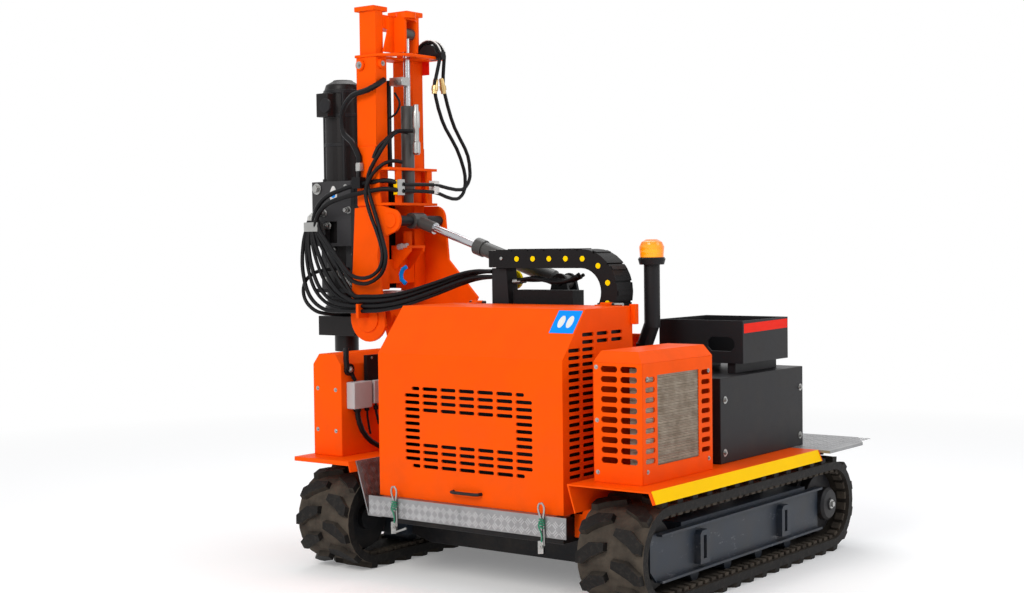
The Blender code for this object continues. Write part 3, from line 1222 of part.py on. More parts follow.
def hammer():
    """The carriage on the inner posts with the hydraulic hammer clamped to it."""
    near, far = post_ys()
    shoe_back = MAST_BACK_X + 0.015 - GAP
    clear = POST_WALL + 0.0025
    shoes = []
    for y in (near, far):
        shoes.append(block((CARRIAGE_X[1] - 0.004, shoe_back), (y[0] + clear, y[1] - clear), CLAMP_Z))
    plate = block(CARRIAGE_X, (near[0] + 0.01, far[1] - 0.01), CLAMP_Z)
    piece("hammer_carriage", "hammer", "graphite", [plate] + shoes)
    y = (MAST_Y - CLAMP_HALF_DEPTH, MAST_Y + CLAMP_HALF_DEPTH)
    clamp_x = (CLAMP_X[0], CARRIAGE_X[0] - GAP)
    box = block(clamp_x, y, CLAMP_Z)
    bore = rod((HAMMER_X, MAST_Y, CLAMP_Z[0] - 0.02), (HAMMER_X, MAST_Y, CLAMP_Z[1] + 0.02),
               HAMMER_RADIUS + GAP, 24)
    window = block((CLAMP_X[0] + 0.090, CLAMP_X[0] + 0.172), (y[0] - 0.02, MAST_Y), (1.486, 1.596))
    recess = block((clamp_x[0] - 0.02, clamp_x[1] + 0.02), (y[0] - 0.02, y[0] + 0.062),
                   (CLAMP_Z[0] - 0.02, CLAMP_FACE_Z))
    piece("hammer_clamp", "hammer", "graphite", [box], [bore, window, recess])
    radius = HAMMER_RADIUS
    top, cap = HAMMER_TOP_Z - CHUCK_Z[1], HAMMER_CAP_Z - CHUCK_Z[1]
    profile = (  # (along, radius)
        (0.0, radius * 0.8), (0.03, radius), (top - 0.03, radius), (top, radius * 0.9),
        (cap - 0.006, radius * 0.55), (cap, radius * 0.5),
    )
    cylinder = turned(profile, (HAMMER_X, MAST_Y, CHUCK_Z[1] + GAP), (0, 0, 1), 24)
    valve = block((HAMMER_X - 0.045, HAMMER_X + 0.035),
                  (MAST_Y - radius - 0.055, MAST_Y - radius * 0.7), VALVE_Z)
    piece("hammer_cylinder", "hammer", "graphite", [cylinder, valve])
    chuck = loft([((HAMMER_X - 0.105, HAMMER_X + 0.150), (MAST_Y - 0.10, MAST_Y + 0.10), CHUCK_Z[0]),
                  ((HAMMER_X - 0.105, HAMMER_X + 0.150), (MAST_Y - 0.10, MAST_Y + 0.10), CHUCK_Z[1])])
    tool = rod((HAMMER_X, MAST_Y, TOOL_Z), (HAMMER_X, MAST_Y, CHUCK_Z[0] + 0.02), TOOL_RADIUS, 20)
    piece("hammer_chuck", "hammer", "graphite", [chuck, tool])


# Hoses


def hose(name, body_name, points, radius):
    """A tube along a smooth curve through a few chosen points."""
    curve = bpy.data.curves.new(name, "CURVE")
    curve.dimensions = "3D"
    curve.bevel_depth = radius
    curve.bevel_resolution = 2
    curve.use_fill_caps = True
    curve.twist_mode = "MINIMUM"
    route = smooth_route([Vector(p) - pivots[body_name] for p in points], radius * 5)
    spline = curve.splines.new("POLY")
    spline.points.add(len(route) - 1)
    for place, spot in zip(spline.points, route):
        place.co = (*spot, 1.0)
    made = bpy.data.objects.new(name, curve)
    bpy.context.scene.collection.objects.link(made)
    made.parent = bodies[body_name]
    curve.materials.append(material("hose"))
    return made


def smooth_route(points, spacing):
    """Points about spacing apart on a Catmull-Rom curve through the given ones."""
    padded = [points[0] * 2 - points[1]] + list(points) + [points[-1] * 2 - points[-2]]
    route = []
    for a, b, c, d in zip(padded, padded[1:], padded[2:], padded[3:]):
        steps = max(1, round((c - b).length / spacing))
        for step in range(steps):
            t = step / steps
            route.append(0.5 * (2 * b + (c - a) * t + (2 * a - 5 * b + 4 * c - d) * t ** 2
                                + (3 * b - a - 3 * c + d) * t ** 3))
    return route + [points[-1]]


LOW_BUNDLE = (
    (-0.3074, 0.618, 1.322), (-0.345, 0.618, 1.322), (-0.46, 0.603, 1.330), (-0.62, 0.580, 1.298),
    (-0.80, 0.562, 1.228), (-0.95, 0.550, 1.168), (-1.03, 0.548, 1.150),
)
HAMMER_BUNDLE = (
    (-1.1068, 0.548, 1.148), (-1.16, 0.548, 1.148), (-1.27, 0.549, 1.155), (-1.38, 0.556, 1.172),
    (-1.48, 0.572, 1.212), (-1.548, 0.598, 1.285), (-1.572, 0.614, 1.38), (-1.558, 0.620, 1.475),
    (-1.515, 0.620, 1.545), (-1.484, 0.630, 1.592), (-1.484, 0.6577, 1.592),
)


def hoses():
    hose("hose_bundle_low", "side_shift", LOW_BUNDLE, 0.030)
    hose("hose_bundle_hammer", "hammer", HAMMER_BUNDLE, 0.030)


# Assembly


def set_bodies():
    chain_middle_x = (CHAIN_END_X + CHAIN_BEND_X) / 2
    body("root", None, (0, 0, 0))
    body("hood_lid", "root", (0, HOOD_BACK_Y + HINGE_BACK, HOOD_TOP_Z + HINGE_RISE))
    body("side_shift", "root", (BEAM_X[0], MAST_Y, GUIDE_LOW_Z + GUIDE_WALL + BEAM_HEIGHT / 2))
    body("cable_chain", "root", (chain_middle_x, sum(CHAIN_Y) / 2, CHAIN_TOP_Z - CHAIN_BEND_RADIUS))
    body("mast", "side_shift", (PIVOT_X, MAST_Y, PIVOT_Z))
    body("mast_extension", "mast", (MAST_BACK_X, MAST_Y, INNER_LOW_Z))
    body("hammer", "mast", (HAMMER_X, MAST_Y, CLAMP_Z[0]))
    body("tilt_barrel", "side_shift", (ANCHOR_X, MAST_Y, ANCHOR_Z))
    body("tilt_rod", "tilt_barrel", (CHEEK_X, MAST_Y, CHEEK_Z))


def centre_over_ground():
    """Shift the whole machine so that the origin is on the ground under the middle of its outline."""
    bpy.context.view_layer.update()
    corners = []
    for made in bpy.data.objects:
        if made.type == "MESH" and not made.name.startswith("hose_bundle"):
            corners += [made.matrix_world @ vertex.co for vertex in made.data.vertices]
    low = [min(c[axis] for c in corners) for axis in range(3)]
    high = [max(c[axis] for c in corners) for axis in range(3)]
    shift = Vector((-(low[0] + high[0]) / 2, -(low[1] + high[1]) / 2, -low[2]))
    bodies["root"].location = shift
    print("origin shift", [round(value, 6) for value in shift])


def main():
    clear_scene()
    set_bodies()
    undercarriage()
    chassis()
    fenders()
    platform()
    hood()
    bulkhead()
    engine()
    radiator()
    tank_and_tray()
    beacon()
    left_box()
    rear_cabinet()
    guide()
    beam()
    cable_chain()
    mast_fixed_stage()
    mast_sliding_stage()
    tilt_cylinder()
    hammer()
    hoses()
    centre_over_ground()


main()
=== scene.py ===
# %% [markdown]
# # A tracked drilling rig
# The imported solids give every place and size. This lesson dresses them: rounded edges,
# paint, rubber and steel, and then the small parts that sit on them.
# The solids come first, because each later piece is placed from them.

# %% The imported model
import json
import math

import bmesh
import bpy
from mathutils import Matrix, Vector

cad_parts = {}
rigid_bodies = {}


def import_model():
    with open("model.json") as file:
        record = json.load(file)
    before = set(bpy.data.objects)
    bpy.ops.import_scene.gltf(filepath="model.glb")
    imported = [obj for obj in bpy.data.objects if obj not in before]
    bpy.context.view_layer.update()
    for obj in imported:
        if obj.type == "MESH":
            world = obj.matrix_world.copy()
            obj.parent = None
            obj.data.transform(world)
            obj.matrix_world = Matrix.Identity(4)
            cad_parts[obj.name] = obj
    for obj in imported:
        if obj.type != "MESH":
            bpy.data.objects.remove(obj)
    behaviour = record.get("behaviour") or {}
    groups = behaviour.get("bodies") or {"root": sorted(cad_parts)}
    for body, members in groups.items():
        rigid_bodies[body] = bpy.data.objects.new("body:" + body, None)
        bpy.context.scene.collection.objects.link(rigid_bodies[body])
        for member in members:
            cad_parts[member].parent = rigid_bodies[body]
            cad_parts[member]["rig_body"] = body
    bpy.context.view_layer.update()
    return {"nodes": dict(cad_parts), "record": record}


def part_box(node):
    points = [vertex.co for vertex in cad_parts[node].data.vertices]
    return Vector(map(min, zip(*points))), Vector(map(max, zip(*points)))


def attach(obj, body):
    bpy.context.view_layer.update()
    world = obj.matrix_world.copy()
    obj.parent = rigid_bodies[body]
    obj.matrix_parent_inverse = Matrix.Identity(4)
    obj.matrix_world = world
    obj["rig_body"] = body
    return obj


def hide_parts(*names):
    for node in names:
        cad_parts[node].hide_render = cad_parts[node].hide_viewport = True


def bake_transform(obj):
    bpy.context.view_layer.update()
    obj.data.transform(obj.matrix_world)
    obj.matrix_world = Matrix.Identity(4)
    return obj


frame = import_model()

TANK_CORNER = Vector((0.36, 0.726, 0.5093))  # the oil tank's lowest corner in the machine's own places
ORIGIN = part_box("oil_tank")[0] - TANK_CORNER
print("machine's own zero in the frame", [round(v, 4) for v in ORIGIN])


def at(x, y, z):
    """A place given from the ground under the middle of the hood's face."""
    return ORIGIN + Vector((x, y, z))


# %% [markdown]
# ## Camera
# The photograph's straight edges give the camera: eye level, off the hood's right corner,
# with a slightly long lens. It comes first, because every later piece is judged through it.

# %% Camera
CAMERA_PLACE = (4.128, -5.116, 1.469)
CAMERA_YAW = 37.16  # degrees from straight back, towards the left
CAMERA_PITCH = -1.93
CAMERA_ROLL = -0.69
CAMERA_LENS = 54.56

yaw, pitch, roll = (math.radians(a) for a in (CAMERA_YAW, CAMERA_PITCH, CAMERA_ROLL))
forward = Vector((-math.sin(yaw) * math.cos(pitch), math.cos(yaw) * math.cos(pitch), math.sin(pitch)))
level_right = Vector((math.cos(yaw), math.sin(yaw), 0))
level_up = level_right.cross(forward)
right = level_right * math.cos(roll) + level_up * math.sin(roll)
up = level_up * math.cos(roll) - level_right * math.sin(roll)

lens = bpy.data.cameras.new("photo_camera")
lens.lens = CAMERA_LENS
lens.sensor_width = 36
lens.sensor_fit = "HORIZONTAL"
lens.clip_end = 200
camera = bpy.data.objects.new("photo_camera", lens)
bpy.context.scene.collection.objects.link(camera)
turned = Matrix((right, up, -forward)).transposed().to_4x4()
camera.matrix_world = Matrix.Translation(at(*CAMERA_PLACE)) @ turned
bpy.context.scene.camera = camera
bpy.context.scene.view_settings.view_transform = "Standard"
print("camera at", [round(v, 3) for v in camera.matrix_world.translation], "lens", CAMERA_LENS, "mm")

# %% [markdown]
# ## Writing materials as sums
# A material is a recipe of numbers that change over the surface. A small class lets
# Python's own signs build those sums, and one method makes every other kind of node.


# %% A socket that can be added and multiplied
class Reading:
    """An output in a material; Python's signs on it add Math nodes."""

    def __init__(self, recipe, socket):
        self.recipe = recipe
        self.socket = socket

    def maths(self, operation, first, second=0.0):
        return self.recipe.node("ShaderNodeMath", {"operation": operation}, {0: first, 1: second})

    def __add__(self, other):
        return self.maths("ADD", self, other)

    def __rsub__(self, other):
        return self.maths("SUBTRACT", other, self)

    def __mul__(self, other):
        return self.maths("MULTIPLY", self, other)

    def above(self, low, high):
        """0 below low, 1 above high and straight between."""
        return self.recipe.node("ShaderNodeMapRange", {}, {0: self, 1: low, 2: high, 3: 0.0, 4: 1.0})


class Tree:
    """Any node tree; one method makes each node, with its settings before its sockets."""

    def __init__(self, tree):
        self.tree = tree

    def node(self, kind, settings=(), sockets=(), out=0):
        made = self.tree.nodes.new(kind)
        for key, value in dict(settings).items():
            setattr(made, key, value)
        for key, value in dict(sockets).items():
            self.feed(made.inputs[key], value)
        return Reading(self, made.outputs[out])

    def feed(self, socket, value):
        if isinstance(value, Reading):
            self.tree.links.new(value.socket, socket)
        elif socket.type == "RGBA" and len(value) == 3:
            socket.default_value = (*value, 1)
        else:
            socket.default_value = value


class Recipe(Tree):
    """One material: a Principled BSDF fed by nodes on the piece's own Object coordinates."""

    def __init__(self, name):
        self.material = bpy.data.materials.new(name)
        self.material.use_nodes = True
        super().__init__(self.material.node_tree)
        self.shader = self.tree.nodes["Principled BSDF"]
        self.place = self.node("ShaderNodeTexCoord", out="Object")

    def noise(self, scale, detail=4.0, roughness=0.55, stretch=(1, 1, 1)):
        spot = self.place
        if stretch != (1, 1, 1):
            spot = self.node("ShaderNodeMapping", {}, {"Vector": self.place, "Scale": stretch})
        return self.node("ShaderNodeTexNoise", {},
                         {"Vector": spot, "Scale": scale, "Detail": detail, "Roughness": roughness})

    def mix(self, share, first, second):
        return self.node("ShaderNodeMix", {"data_type": "RGBA"}, {0: share, 6: first, 7: second}, out=2)

    def bump(self, height, distance):
        return self.node("ShaderNodeBump", {}, {"Height": height, "Distance": distance, "Strength": 1.0})

    def height_above_floor(self):
        return self.node("ShaderNodeSeparateXYZ", {}, {0: self.place}, out=2)

    def surface(self, **sockets):
        for key, value in sockets.items():
            self.feed(self.shader.inputs[key.replace("_", " ").title().replace("Ior", "IOR")], value)
        return self.material


# %% [markdown]
# ## Floor and studio
# The floor is a large pale sheet that keeps the machine's shadow. Near the machine it is
# lit like any sheet; farther off it glows by itself, so that it melts into the backdrop.

# %% Floor
FLOOR_COLOUR = (0.86, 0.86, 0.86)
FLOOR_NEAR_GLOW = 0.20  # what the floor sheds by itself under the machine
FLOOR_FAR_GLOW = 1.0
GLOW_STARTS, GLOW_FULL = 3.2, 7.0  # metres from the machine's middle
FLOOR_REACH = 60.0

floor_low = min(corner.z for corner in (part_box("track_left")[0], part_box("track_right")[0]))
corners = [(x * FLOOR_REACH, y * FLOOR_REACH, floor_low) for x, y in ((-1, -1), (1, -1), (1, 1), (-1, 1))]
floor_mesh = bpy.data.meshes.new("studio_floor")
floor_mesh.from_pydata(corners, [], [(0, 1, 2, 3)])
floor = bpy.data.objects.new("studio_floor", floor_mesh)
bpy.context.scene.collection.objects.link(floor)

sheet = Recipe("studio_floor")
from_machine = sheet.node("ShaderNodeVectorMath", {"operation": "DISTANCE"},
                          {0: sheet.place, 1: at(0, 0.8, 0)}, out=1)
far_off = from_machine.above(GLOW_STARTS, GLOW_FULL)
pale = sheet.mix(far_off, FLOOR_COLOUR, (0.0, 0.0, 0.0))
glow = sheet.mix(far_off, (FLOOR_NEAR_GLOW,) * 3, (FLOOR_FAR_GLOW,) * 3)
floor_mesh.materials.append(sheet.surface(base_color=pale, roughness=1.0, specular_ior_level=0.0,
                                          emission_color=glow, emission_strength=1.0))
print("floor at height", round(floor_low, 4))

# %% [markdown]
# The sky is white where the camera, a polished rod or glass looks at it, and a softer
# grey for the light it sheds, so that a white background costs no extra light.

# %% Sky
SKY_LIGHT = 0.55
SKY_COLOUR = (0.95, 0.97, 1.0)

world = bpy.data.worlds.new("studio_sky")
bpy.context.scene.world = world
world.use_nodes = True
sky = Tree(world.node_tree)
shed = sky.node("ShaderNodeBackground", {}, {"Color": SKY_COLOUR, "Strength": SKY_LIGHT})
backdrop = sky.node("ShaderNodeBackground", {}, {"Color": (1.0, 1.0, 1.0), "Strength": 1.0})
seen = sky.node("ShaderNodeLightPath", out="Is Camera Ray")
for ray in ("Is Glossy Ray", "Is Transmission Ray"):
    seen = seen.maths("MAXIMUM", seen, sky.node("ShaderNodeLightPath", out=ray))
chosen = sky.node("ShaderNodeMixShader", {}, {0: seen, 1: shed, 2: backdrop})
sky.feed(world.node_tree.nodes["World Output"].inputs["Surface"], chosen)
world.node_tree.nodes.remove(world.node_tree.nodes["Background"])
print("sky sheds", SKY_LIGHT, "and shows white")

# %% [markdown]
# Three large round lamps model the shape: the key from the front, a cool one from the
# side and a weak one from above. They are wide, so every shadow has a soft edge.

# %% Lamps
LAMPS = (  # (name, place, aim, size, power, colour)
    ("key_light", (0.5, -6.5, 5.5), (0, 0.5, 1.0), 4.0, 330, (1.0, 0.97, 0.93)),
    ("side_light", (6.5, 2.5, 4.5), (0, 0.8, 1.0), 4.0, 130, (0.95, 0.97, 1.0)),
    ("top_light", (-2.0, 3.0, 7.0), (0, 0.8, 1.0), 5.0, 160, (1.0, 1.0, 1.0)),
)
for name, spot, aim, size, power, colour in LAMPS:
    lamp = bpy.data.lights.new(name, "AREA")
    lamp.shape = "DISK"
    lamp.size = size
    lamp.energy = power
    lamp.color = colour
    stand = bpy.data.objects.new(name, lamp)
    bpy.context.scene.collection.objects.link(stand)
    stand.location = at(*spot)
    stand.rotation_euler = (at(*aim) - at(*spot)).to_track_quat("-Z", "Y").to_euler()
    print(name, power, "W")

# %% [markdown]
# ## Finishes
# Orange powder paint is smooth with a faint orange peel, a film of dust low down and
# dull patches where hands and soil have been. Black parts are satin paint that greys
# with dust, and the bare metals differ in how far fine scratches dull their shine.


# %% Painted and bare metal
def paint(name, colour, roughness, dust=0.25, mottle=0.10, peel=0.00012, shine=0.25, scratched=0.0):
    mix = Recipe(name)
    height = mix.height_above_floor()
    patches = mix.noise(7.0, 5.0).above(0.42, 0.72)
    grime = mix.noise(34.0, 6.0, 0.65).above(0.50, 0.80)
    low_down = 1.0 - height.above(0.15, 1.05)
    film = (low_down * 0.7 + 0.12) * (patches * 0.7 + grime * 0.5) * dust
    darker = tuple(c * (1 - mottle) for c in colour)
    base = mix.mix(patches, colour, darker)
    base = mix.mix(film, base, (0.30, 0.24, 0.18))
    if scratched:
        marks = mix.noise(22.0, 8.0, 0.75, (1, 0.35, 1)).above(0.60, 0.66)
        base = mix.mix(marks * scratched, base, (0.24, 0.24, 0.25))
    rough = film * 0.45 + grime * 0.08 + roughness
    fine = mix.bump(mix.noise(420.0, 2.0), peel)
    return mix.surface(base_color=base, roughness=rough, normal=fine, specular_ior_level=shine)


def bare_metal(name, colour, roughness, scratches):
    mix = Recipe(name)
    streaks = mix.noise(26.0, 5.0, 0.6, (1, 6, 1)).above(0.40, 0.75)
    dull = mix.noise(9.0, 4.0).above(0.40, 0.70)
    base = mix.mix(dull * 0.5, colour, tuple(c * 0.72 for c in colour))
    rough = streaks * scratches * 0.6 + dull * 0.12 + roughness
    fine = mix.bump(mix.noise(300.0, 3.0, 0.6, (1, 8, 1)), 0.00015)
    return mix.surface(base_color=base, roughness=rough, metallic=1.0, normal=fine)


ORANGE = paint("orange_paint", (0.93, 0.090, 0.0006), 0.42, dust=0.05, mottle=0.09, shine=0.05)
GRAPHITE = paint("graphite_paint", (0.0105, 0.0105, 0.0125), 0.45, dust=0.12, mottle=0.25, shine=0.20)
HAMMER_PAINT = paint("hammer_paint", (0.011, 0.0095, 0.010), 0.36, dust=0.04, mottle=0.3, shine=0.18)
CLAMP_PAINT = paint("clamp_paint", (0.034, 0.033, 0.036), 0.45, dust=0.06, mottle=0.3, shine=0.3)
FRAME_PAINT = paint("track_frame_paint", (0.019, 0.026, 0.038), 0.46, dust=0.10, mottle=0.25, shine=0.30,
                    scratched=0.40)
CYLINDER_PAINT = paint("cylinder_paint", (0.055, 0.055, 0.053), 0.36, dust=0.15, mottle=0.2, shine=0.4)
GREY_PLASTIC = paint("grey_plastic", (0.46, 0.44, 0.44), 0.5, dust=0.15, mottle=0.1)
ALUMINIUM = bare_metal("tread_aluminium", (0.32, 0.32, 0.325), 0.38, 0.4)
TREAD_CREST = bare_metal("tread_crest", (0.50, 0.50, 0.51), 0.28, 0.4)
# painted reflection: chrome and zinc get darker base colours that stand in for the dark surroundings they
# would reflect
CHROME = bare_metal("rod_chrome", (0.50, 0.50, 0.52), 0.10, 0.10)
ZINC = bare_metal("zinc_plating", (0.40, 0.40, 0.39), 0.26, 0.3)
BRASS = bare_metal("brass_fitting", (0.62, 0.44, 0.20), 0.28, 0.3)
YELLOW = paint("yellow_stripe", (1.0, 0.58, 0.0005), 0.45, dust=0.03, mottle=0.04, shine=0.04)
LEMON = paint("chain_yellow", (1.0, 0.74, 0.0005), 0.45, dust=0.0, mottle=0.04, shine=0.04)
RED = paint("red_strip", (0.85, 0.018, 0.006), 0.40, dust=0.02, mottle=0.08, shine=0.06)
BLUE = paint("blue_mark", (0.002, 0.27, 0.90), 0.40, dust=0.01, mottle=0.03, shine=0.06)
WHITE = paint("white_mark", (0.74, 0.74, 0.72), 0.42, dust=0.08, mottle=0.04)
GREEN = paint("green_lanyard", (0.02, 0.22, 0.12), 0.45, dust=0.1, mottle=0.1)
print("paints and metals mixed:", len(bpy.data.materials))

# %% [markdown]
# ### Rubber
# Rubber hardly shines and holds dust in its pores. Hoses and the chain's plastic are the
# same recipe with less dust. The track needs one thing more: its belt stays dusty while
# the crests of its lugs are rubbed clean, so an attribute on its faces tells them apart.


# %% Rubber, hose and chain plastic
def rubber(name, colour, roughness, dust, shine):
    mix = Recipe(name)
    height = mix.height_above_floor()
    pores = mix.noise(55.0, 6.0, 0.7)
    patches = mix.noise(6.0, 4.0).above(0.35, 0.75)
    film = (patches * 0.6 + pores.above(0.45, 0.75) * 0.5) * dust
    base = mix.mix(film * (1.0 - height.above(0.1, 2.0) * 0.7), colour, (0.19, 0.165, 0.135))
    fine = mix.bump(pores, 0.0012)
    return mix.surface(base_color=base, roughness=film * 0.25 + roughness, normal=fine,
                       specular_ior_level=shine)


track = Recipe("track_rubber")
raised = track.node("ShaderNodeAttribute", {"attribute_name": "raised"}, out=2).above(0.25, 0.85)
grain = track.noise(46.0, 7.0, 0.7)
clods = track.noise(11.0, 5.0, 0.6).above(0.38, 0.68)
dusty = track.mix(clods, (0.080, 0.065, 0.050), (0.034, 0.028, 0.023))
clean = track.mix(grain.above(0.50, 0.80), (0.0085, 0.0075, 0.0070), (0.034, 0.029, 0.024))
TRACK_RUBBER = track.surface(base_color=track.mix(raised, dusty, clean), roughness=0.86 - raised * 0.24,
                             specular_ior_level=0.16, normal=track.bump(grain, 0.0018))
HOSE = rubber("hose_cover", (0.005, 0.005, 0.006), 0.46, 0.01, 0.16)
CHAIN_PLASTIC = rubber("chain_plastic", (0.006, 0.0058, 0.0065), 0.46, 0.03, 0.14)
print("rubbers mixed:", TRACK_RUBBER.name, HOSE.name, CHAIN_PLASTIC.name)

# %% [markdown]
# ### Lamp glass and cooler
# The beacon's lens is ribbed amber plastic that is lit from its middle. The cooler's core
# is a pile of thin fins with patches of dust; a wave along its height draws the finest, and
# its dark bands are painted shade in the gaps between them.

# %% Amber lens and cooler core
LENS_MIDDLE = (0.470, 0.735, 1.425)
amber = Recipe("beacon_amber")
middle = amber.node("ShaderNodeVectorMath", {"operation": "DISTANCE"},
                    {0: amber.place, 1: at(*LENS_MIDDLE)}, out=1)
lit = 1.0 - middle.above(0.022, 0.075)
ribs = amber.node("ShaderNodeTexWave", {"bands_direction": "Z"}, {"Vector": amber.place, "Scale": 14.0},
                  out=1)
AMBER = amber.surface(base_color=amber.mix(lit * 0.8, (0.86, 0.155, 0.0), (1.0, 0.42, 0.01)),
                      roughness=0.14, ior=1.49,
                      emission_color=amber.mix(lit, (0.10, 0.008, 0.0), (0.46, 0.13, 0.0)),
                      emission_strength=1.0, normal=amber.bump(ribs, 0.0012))

core = Recipe("cooler_core")
fins = core.node("ShaderNodeTexWave", {"bands_direction": "Z"}, {"Vector": core.place, "Scale": 55.0},
                 out=1)
soiled = core.noise(18.0, 5.0).above(0.35, 0.75)
core_base = core.mix(soiled, (0.50, 0.42, 0.33), (0.24, 0.18, 0.12))
# painted shade: the wave's dark bands darken the gaps between the fins
core_base = core.mix(fins.above(0.35, 0.65) * 0.55, core_base, (0.10, 0.08, 0.06))
CORE = core.surface(base_color=core_base, roughness=0.6, metallic=0.3, normal=core.bump(fins, 0.002))
print("lens and core mixed:", AMBER.name, CORE.name)

# %% [markdown]
# ## Rounding the solids
# Real plate and castings have no knife edges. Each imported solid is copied, its loose
# triangles are merged and its flat faces rejoined, and a small bevel rounds the edges so
# that they catch the light. The copy then stands for the solid.


# %% Dressing a solid
def linked(name, mesh):
    made = bpy.data.objects.new(name, mesh)
    bpy.context.scene.collection.objects.link(made)
    return made


def round_edges(piece, width, segments=2, by_length=None):
    """A bevel on edges over 30 degrees, or only on those longer than by_length."""
    bevel = piece.modifiers.new("round_edges", "BEVEL")
    bevel.width = width
    bevel.segments = segments
    bevel.limit_method = "ANGLE"
    bevel.angle_limit = math.radians(30)
    if by_length:
        bevel.limit_method = "WEIGHT"
        marks = piece.data.attributes.new("bevel_weight_edge", "FLOAT", "EDGE")
        grid = bmesh.new()
        grid.from_mesh(piece.data)
        for edge in grid.edges:
            bent = len(edge.link_faces) == 2 and edge.calc_face_angle(0) > math.radians(20)
            marks.data[edge.index].value = 1.0 if bent and edge.calc_length() > by_length else 0.0
        grid.free()
    level = piece.modifiers.new("flat_faces_stay_flat", "WEIGHTED_NORMAL")
    level.keep_sharp = True
    level.weight = 80


FRONT_AXLE_Y, REAR_AXLE_Y, AXLE_Z = 0.12, 1.60, 0.225
BELT_OUTSIDE = 0.199  # the bare belt's outer face, from the line between the axles
BELT_SLACK = 0.006


def mark_raised(mesh):
    """An attribute on the track's faces: 0 on the bare belt, 1 on crests and sides, between them 0.55."""
    marks = mesh.attributes.new("raised", "FLOAT", "FACE")
    for face in mesh.polygons:
        spot = face.center - ORIGIN
        out = Vector((0, spot.y - min(max(spot.y, FRONT_AXLE_Y), REAR_AXLE_Y), spot.z - AXLE_Z))
        facing = face.normal.dot(out.normalized())
        if abs(out.length - BELT_OUTSIDE) < BELT_SLACK and facing > 0.7:
            marks.data[face.index].value = 0.0
        elif facing > 0.7 or abs(face.normal.x) > 0.97:
            marks.data[face.index].value = 1.0
        else:
            marks.data[face.index].value = 0.55


SECOND_FINISH = {  # painted ends of the two chromed rods
    "tilt_rod": (CYLINDER_PAINT, lambda spot: spot.x < -0.845),
    "lift_rod": (CYLINDER_PAINT, lambda spot: spot.z > 2.47),
}
# the window in the mast's posts makes one face fold over itself when it is rejoined
KEPT_AS_TRIANGLES = ("mast_post_near", "mast_post_far")


def dress(node, finish, width, by_length=None):
    """A rounded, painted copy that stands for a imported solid."""
    grid = bmesh.new()
    grid.from_mesh(frame["nodes"][node].data)
    bmesh.ops.remove_doubles(grid, verts=grid.verts, dist=0.00002)
    if node not in KEPT_AS_TRIANGLES:
        bmesh.ops.dissolve_limit(grid, angle_limit=0.005, verts=grid.verts, edges=grid.edges)
    mesh = bpy.data.meshes.new(node + "_skin")
    grid.to_mesh(mesh)
    grid.free()
    piece = linked(node + "_skin", mesh)
    mesh.materials.append(finish)
    if finish is TRACK_RUBBER:
        mark_raised(mesh)
    if node in SECOND_FINISH:
        other, chosen = SECOND_FINISH[node]
        mesh.materials.append(other)
        for face in mesh.polygons:
            face.material_index = int(chosen(face.center - ORIGIN))
    mesh.shade_smooth()
    mesh.set_sharp_from_angle(angle=math.radians(32))
    if width:
        round_edges(piece, width, by_length=by_length)
    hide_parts(node)
    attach(piece, frame["nodes"][node]["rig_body"])
    next(s["material_slot"] for s in frame["record"]["subparts"] if s["node"] == node)


# %% [markdown]
# Every solid now gets its finish. Thick plate is rounded by 3 mm, thin sheet by less, and
# on the slotted sheets only the long edges are rounded, so that the slots stay light.

# %% A finish for every solid
SKINS = (  # (finish, bevel width, nodes)
    (ORANGE, 0.003, ("slide_guide", "slide_beam", "mast_post_near", "mast_post_far", "mast_collar",
                     "mast_shelves", "mast_plate_near", "mast_plate_far", "mast_tie", "inner_post_near",
                     "inner_post_far", "inner_crosshead", "rear_cabinet", "side_box")),
    (ORANGE, 0.0015, ("fender_left", "fender_right")),
    (GRAPHITE, 0.003, ("bulkhead", "chassis", "engine_block", "hammer_carriage", "hose_wheel", "oil_tank",
                       "platform_bracket", "tilt_anchor", "tilt_pin_near", "tilt_pin_far", "pivot_pin",
                       "beacon_post", "chain_bracket", "chain_shelf", "drive_wheel_left",
                       "drive_wheel_right", "idler_left", "idler_right")),
    (GRAPHITE, 0.0015, ("tool_tray",)),
    (HAMMER_PAINT, 0.003, ("hammer_cylinder", "hammer_chuck")),
    (CLAMP_PAINT, 0.003, ("hammer_clamp",)),
    (FRAME_PAINT, 0.003, ("track_frame_left", "track_frame_right")),
    (TRACK_RUBBER, 0.004, ("track_left", "track_right")),
    (ALUMINIUM, 0.0012, ("front_bumper", "rear_platform", "tread_plate_left")),
    (CHROME, 0.0012, ("lift_rod", "tilt_rod")),
    (CYLINDER_PAINT, 0.0015, ("lift_barrel", "tilt_barrel")),
    (GREY_PLASTIC, 0.004, ("junction_boxes",)),
    (CHAIN_PLASTIC, 0.003, ("cable_chain",)),
    (AMBER, 0.002, ("beacon_lens",)),
    (CORE, 0.0, ("radiator_core",)),
)
for finish, width, nodes in SKINS:
    for node in nodes:
        dress(node, finish, width)
dress("hood", ORANGE, 0.005, by_length=0.12)
for node in ("radiator_housing", "radiator_grille", "radiator_side"):
    dress(node, ORANGE, 0.002, by_length=0.09)

# %% [markdown]
# ## Hoses
# A hydraulic hose is stiff rubber over wire braid: it leaves its fitting straight and
# sags in one long curve. Each is a tube swept along a smooth curve through a few chosen
# points.


# %% Tubes along a route
def smooth_route(points, spacing):
    """Points about spacing apart on a Catmull-Rom curve through the given ones."""
    points = [Vector(p) for p in points]
    padded = [points[0] * 2 - points[1]] + points + [points[-1] * 2 - points[-2]]
    route = []
    for a, b, c, d in zip(padded, padded[1:], padded[2:], padded[3:]):
        steps = max(1, round((c - b).length / spacing))
        for step in range(steps):
            t = step / steps
            route.append(0.5 * (2 * b + (c - a) * t + (2 * a - 5 * b + 4 * c - d) * t ** 2
                                + (3 * b - a - 3 * c + d) * t ** 3))
    return route + [points[-1]]


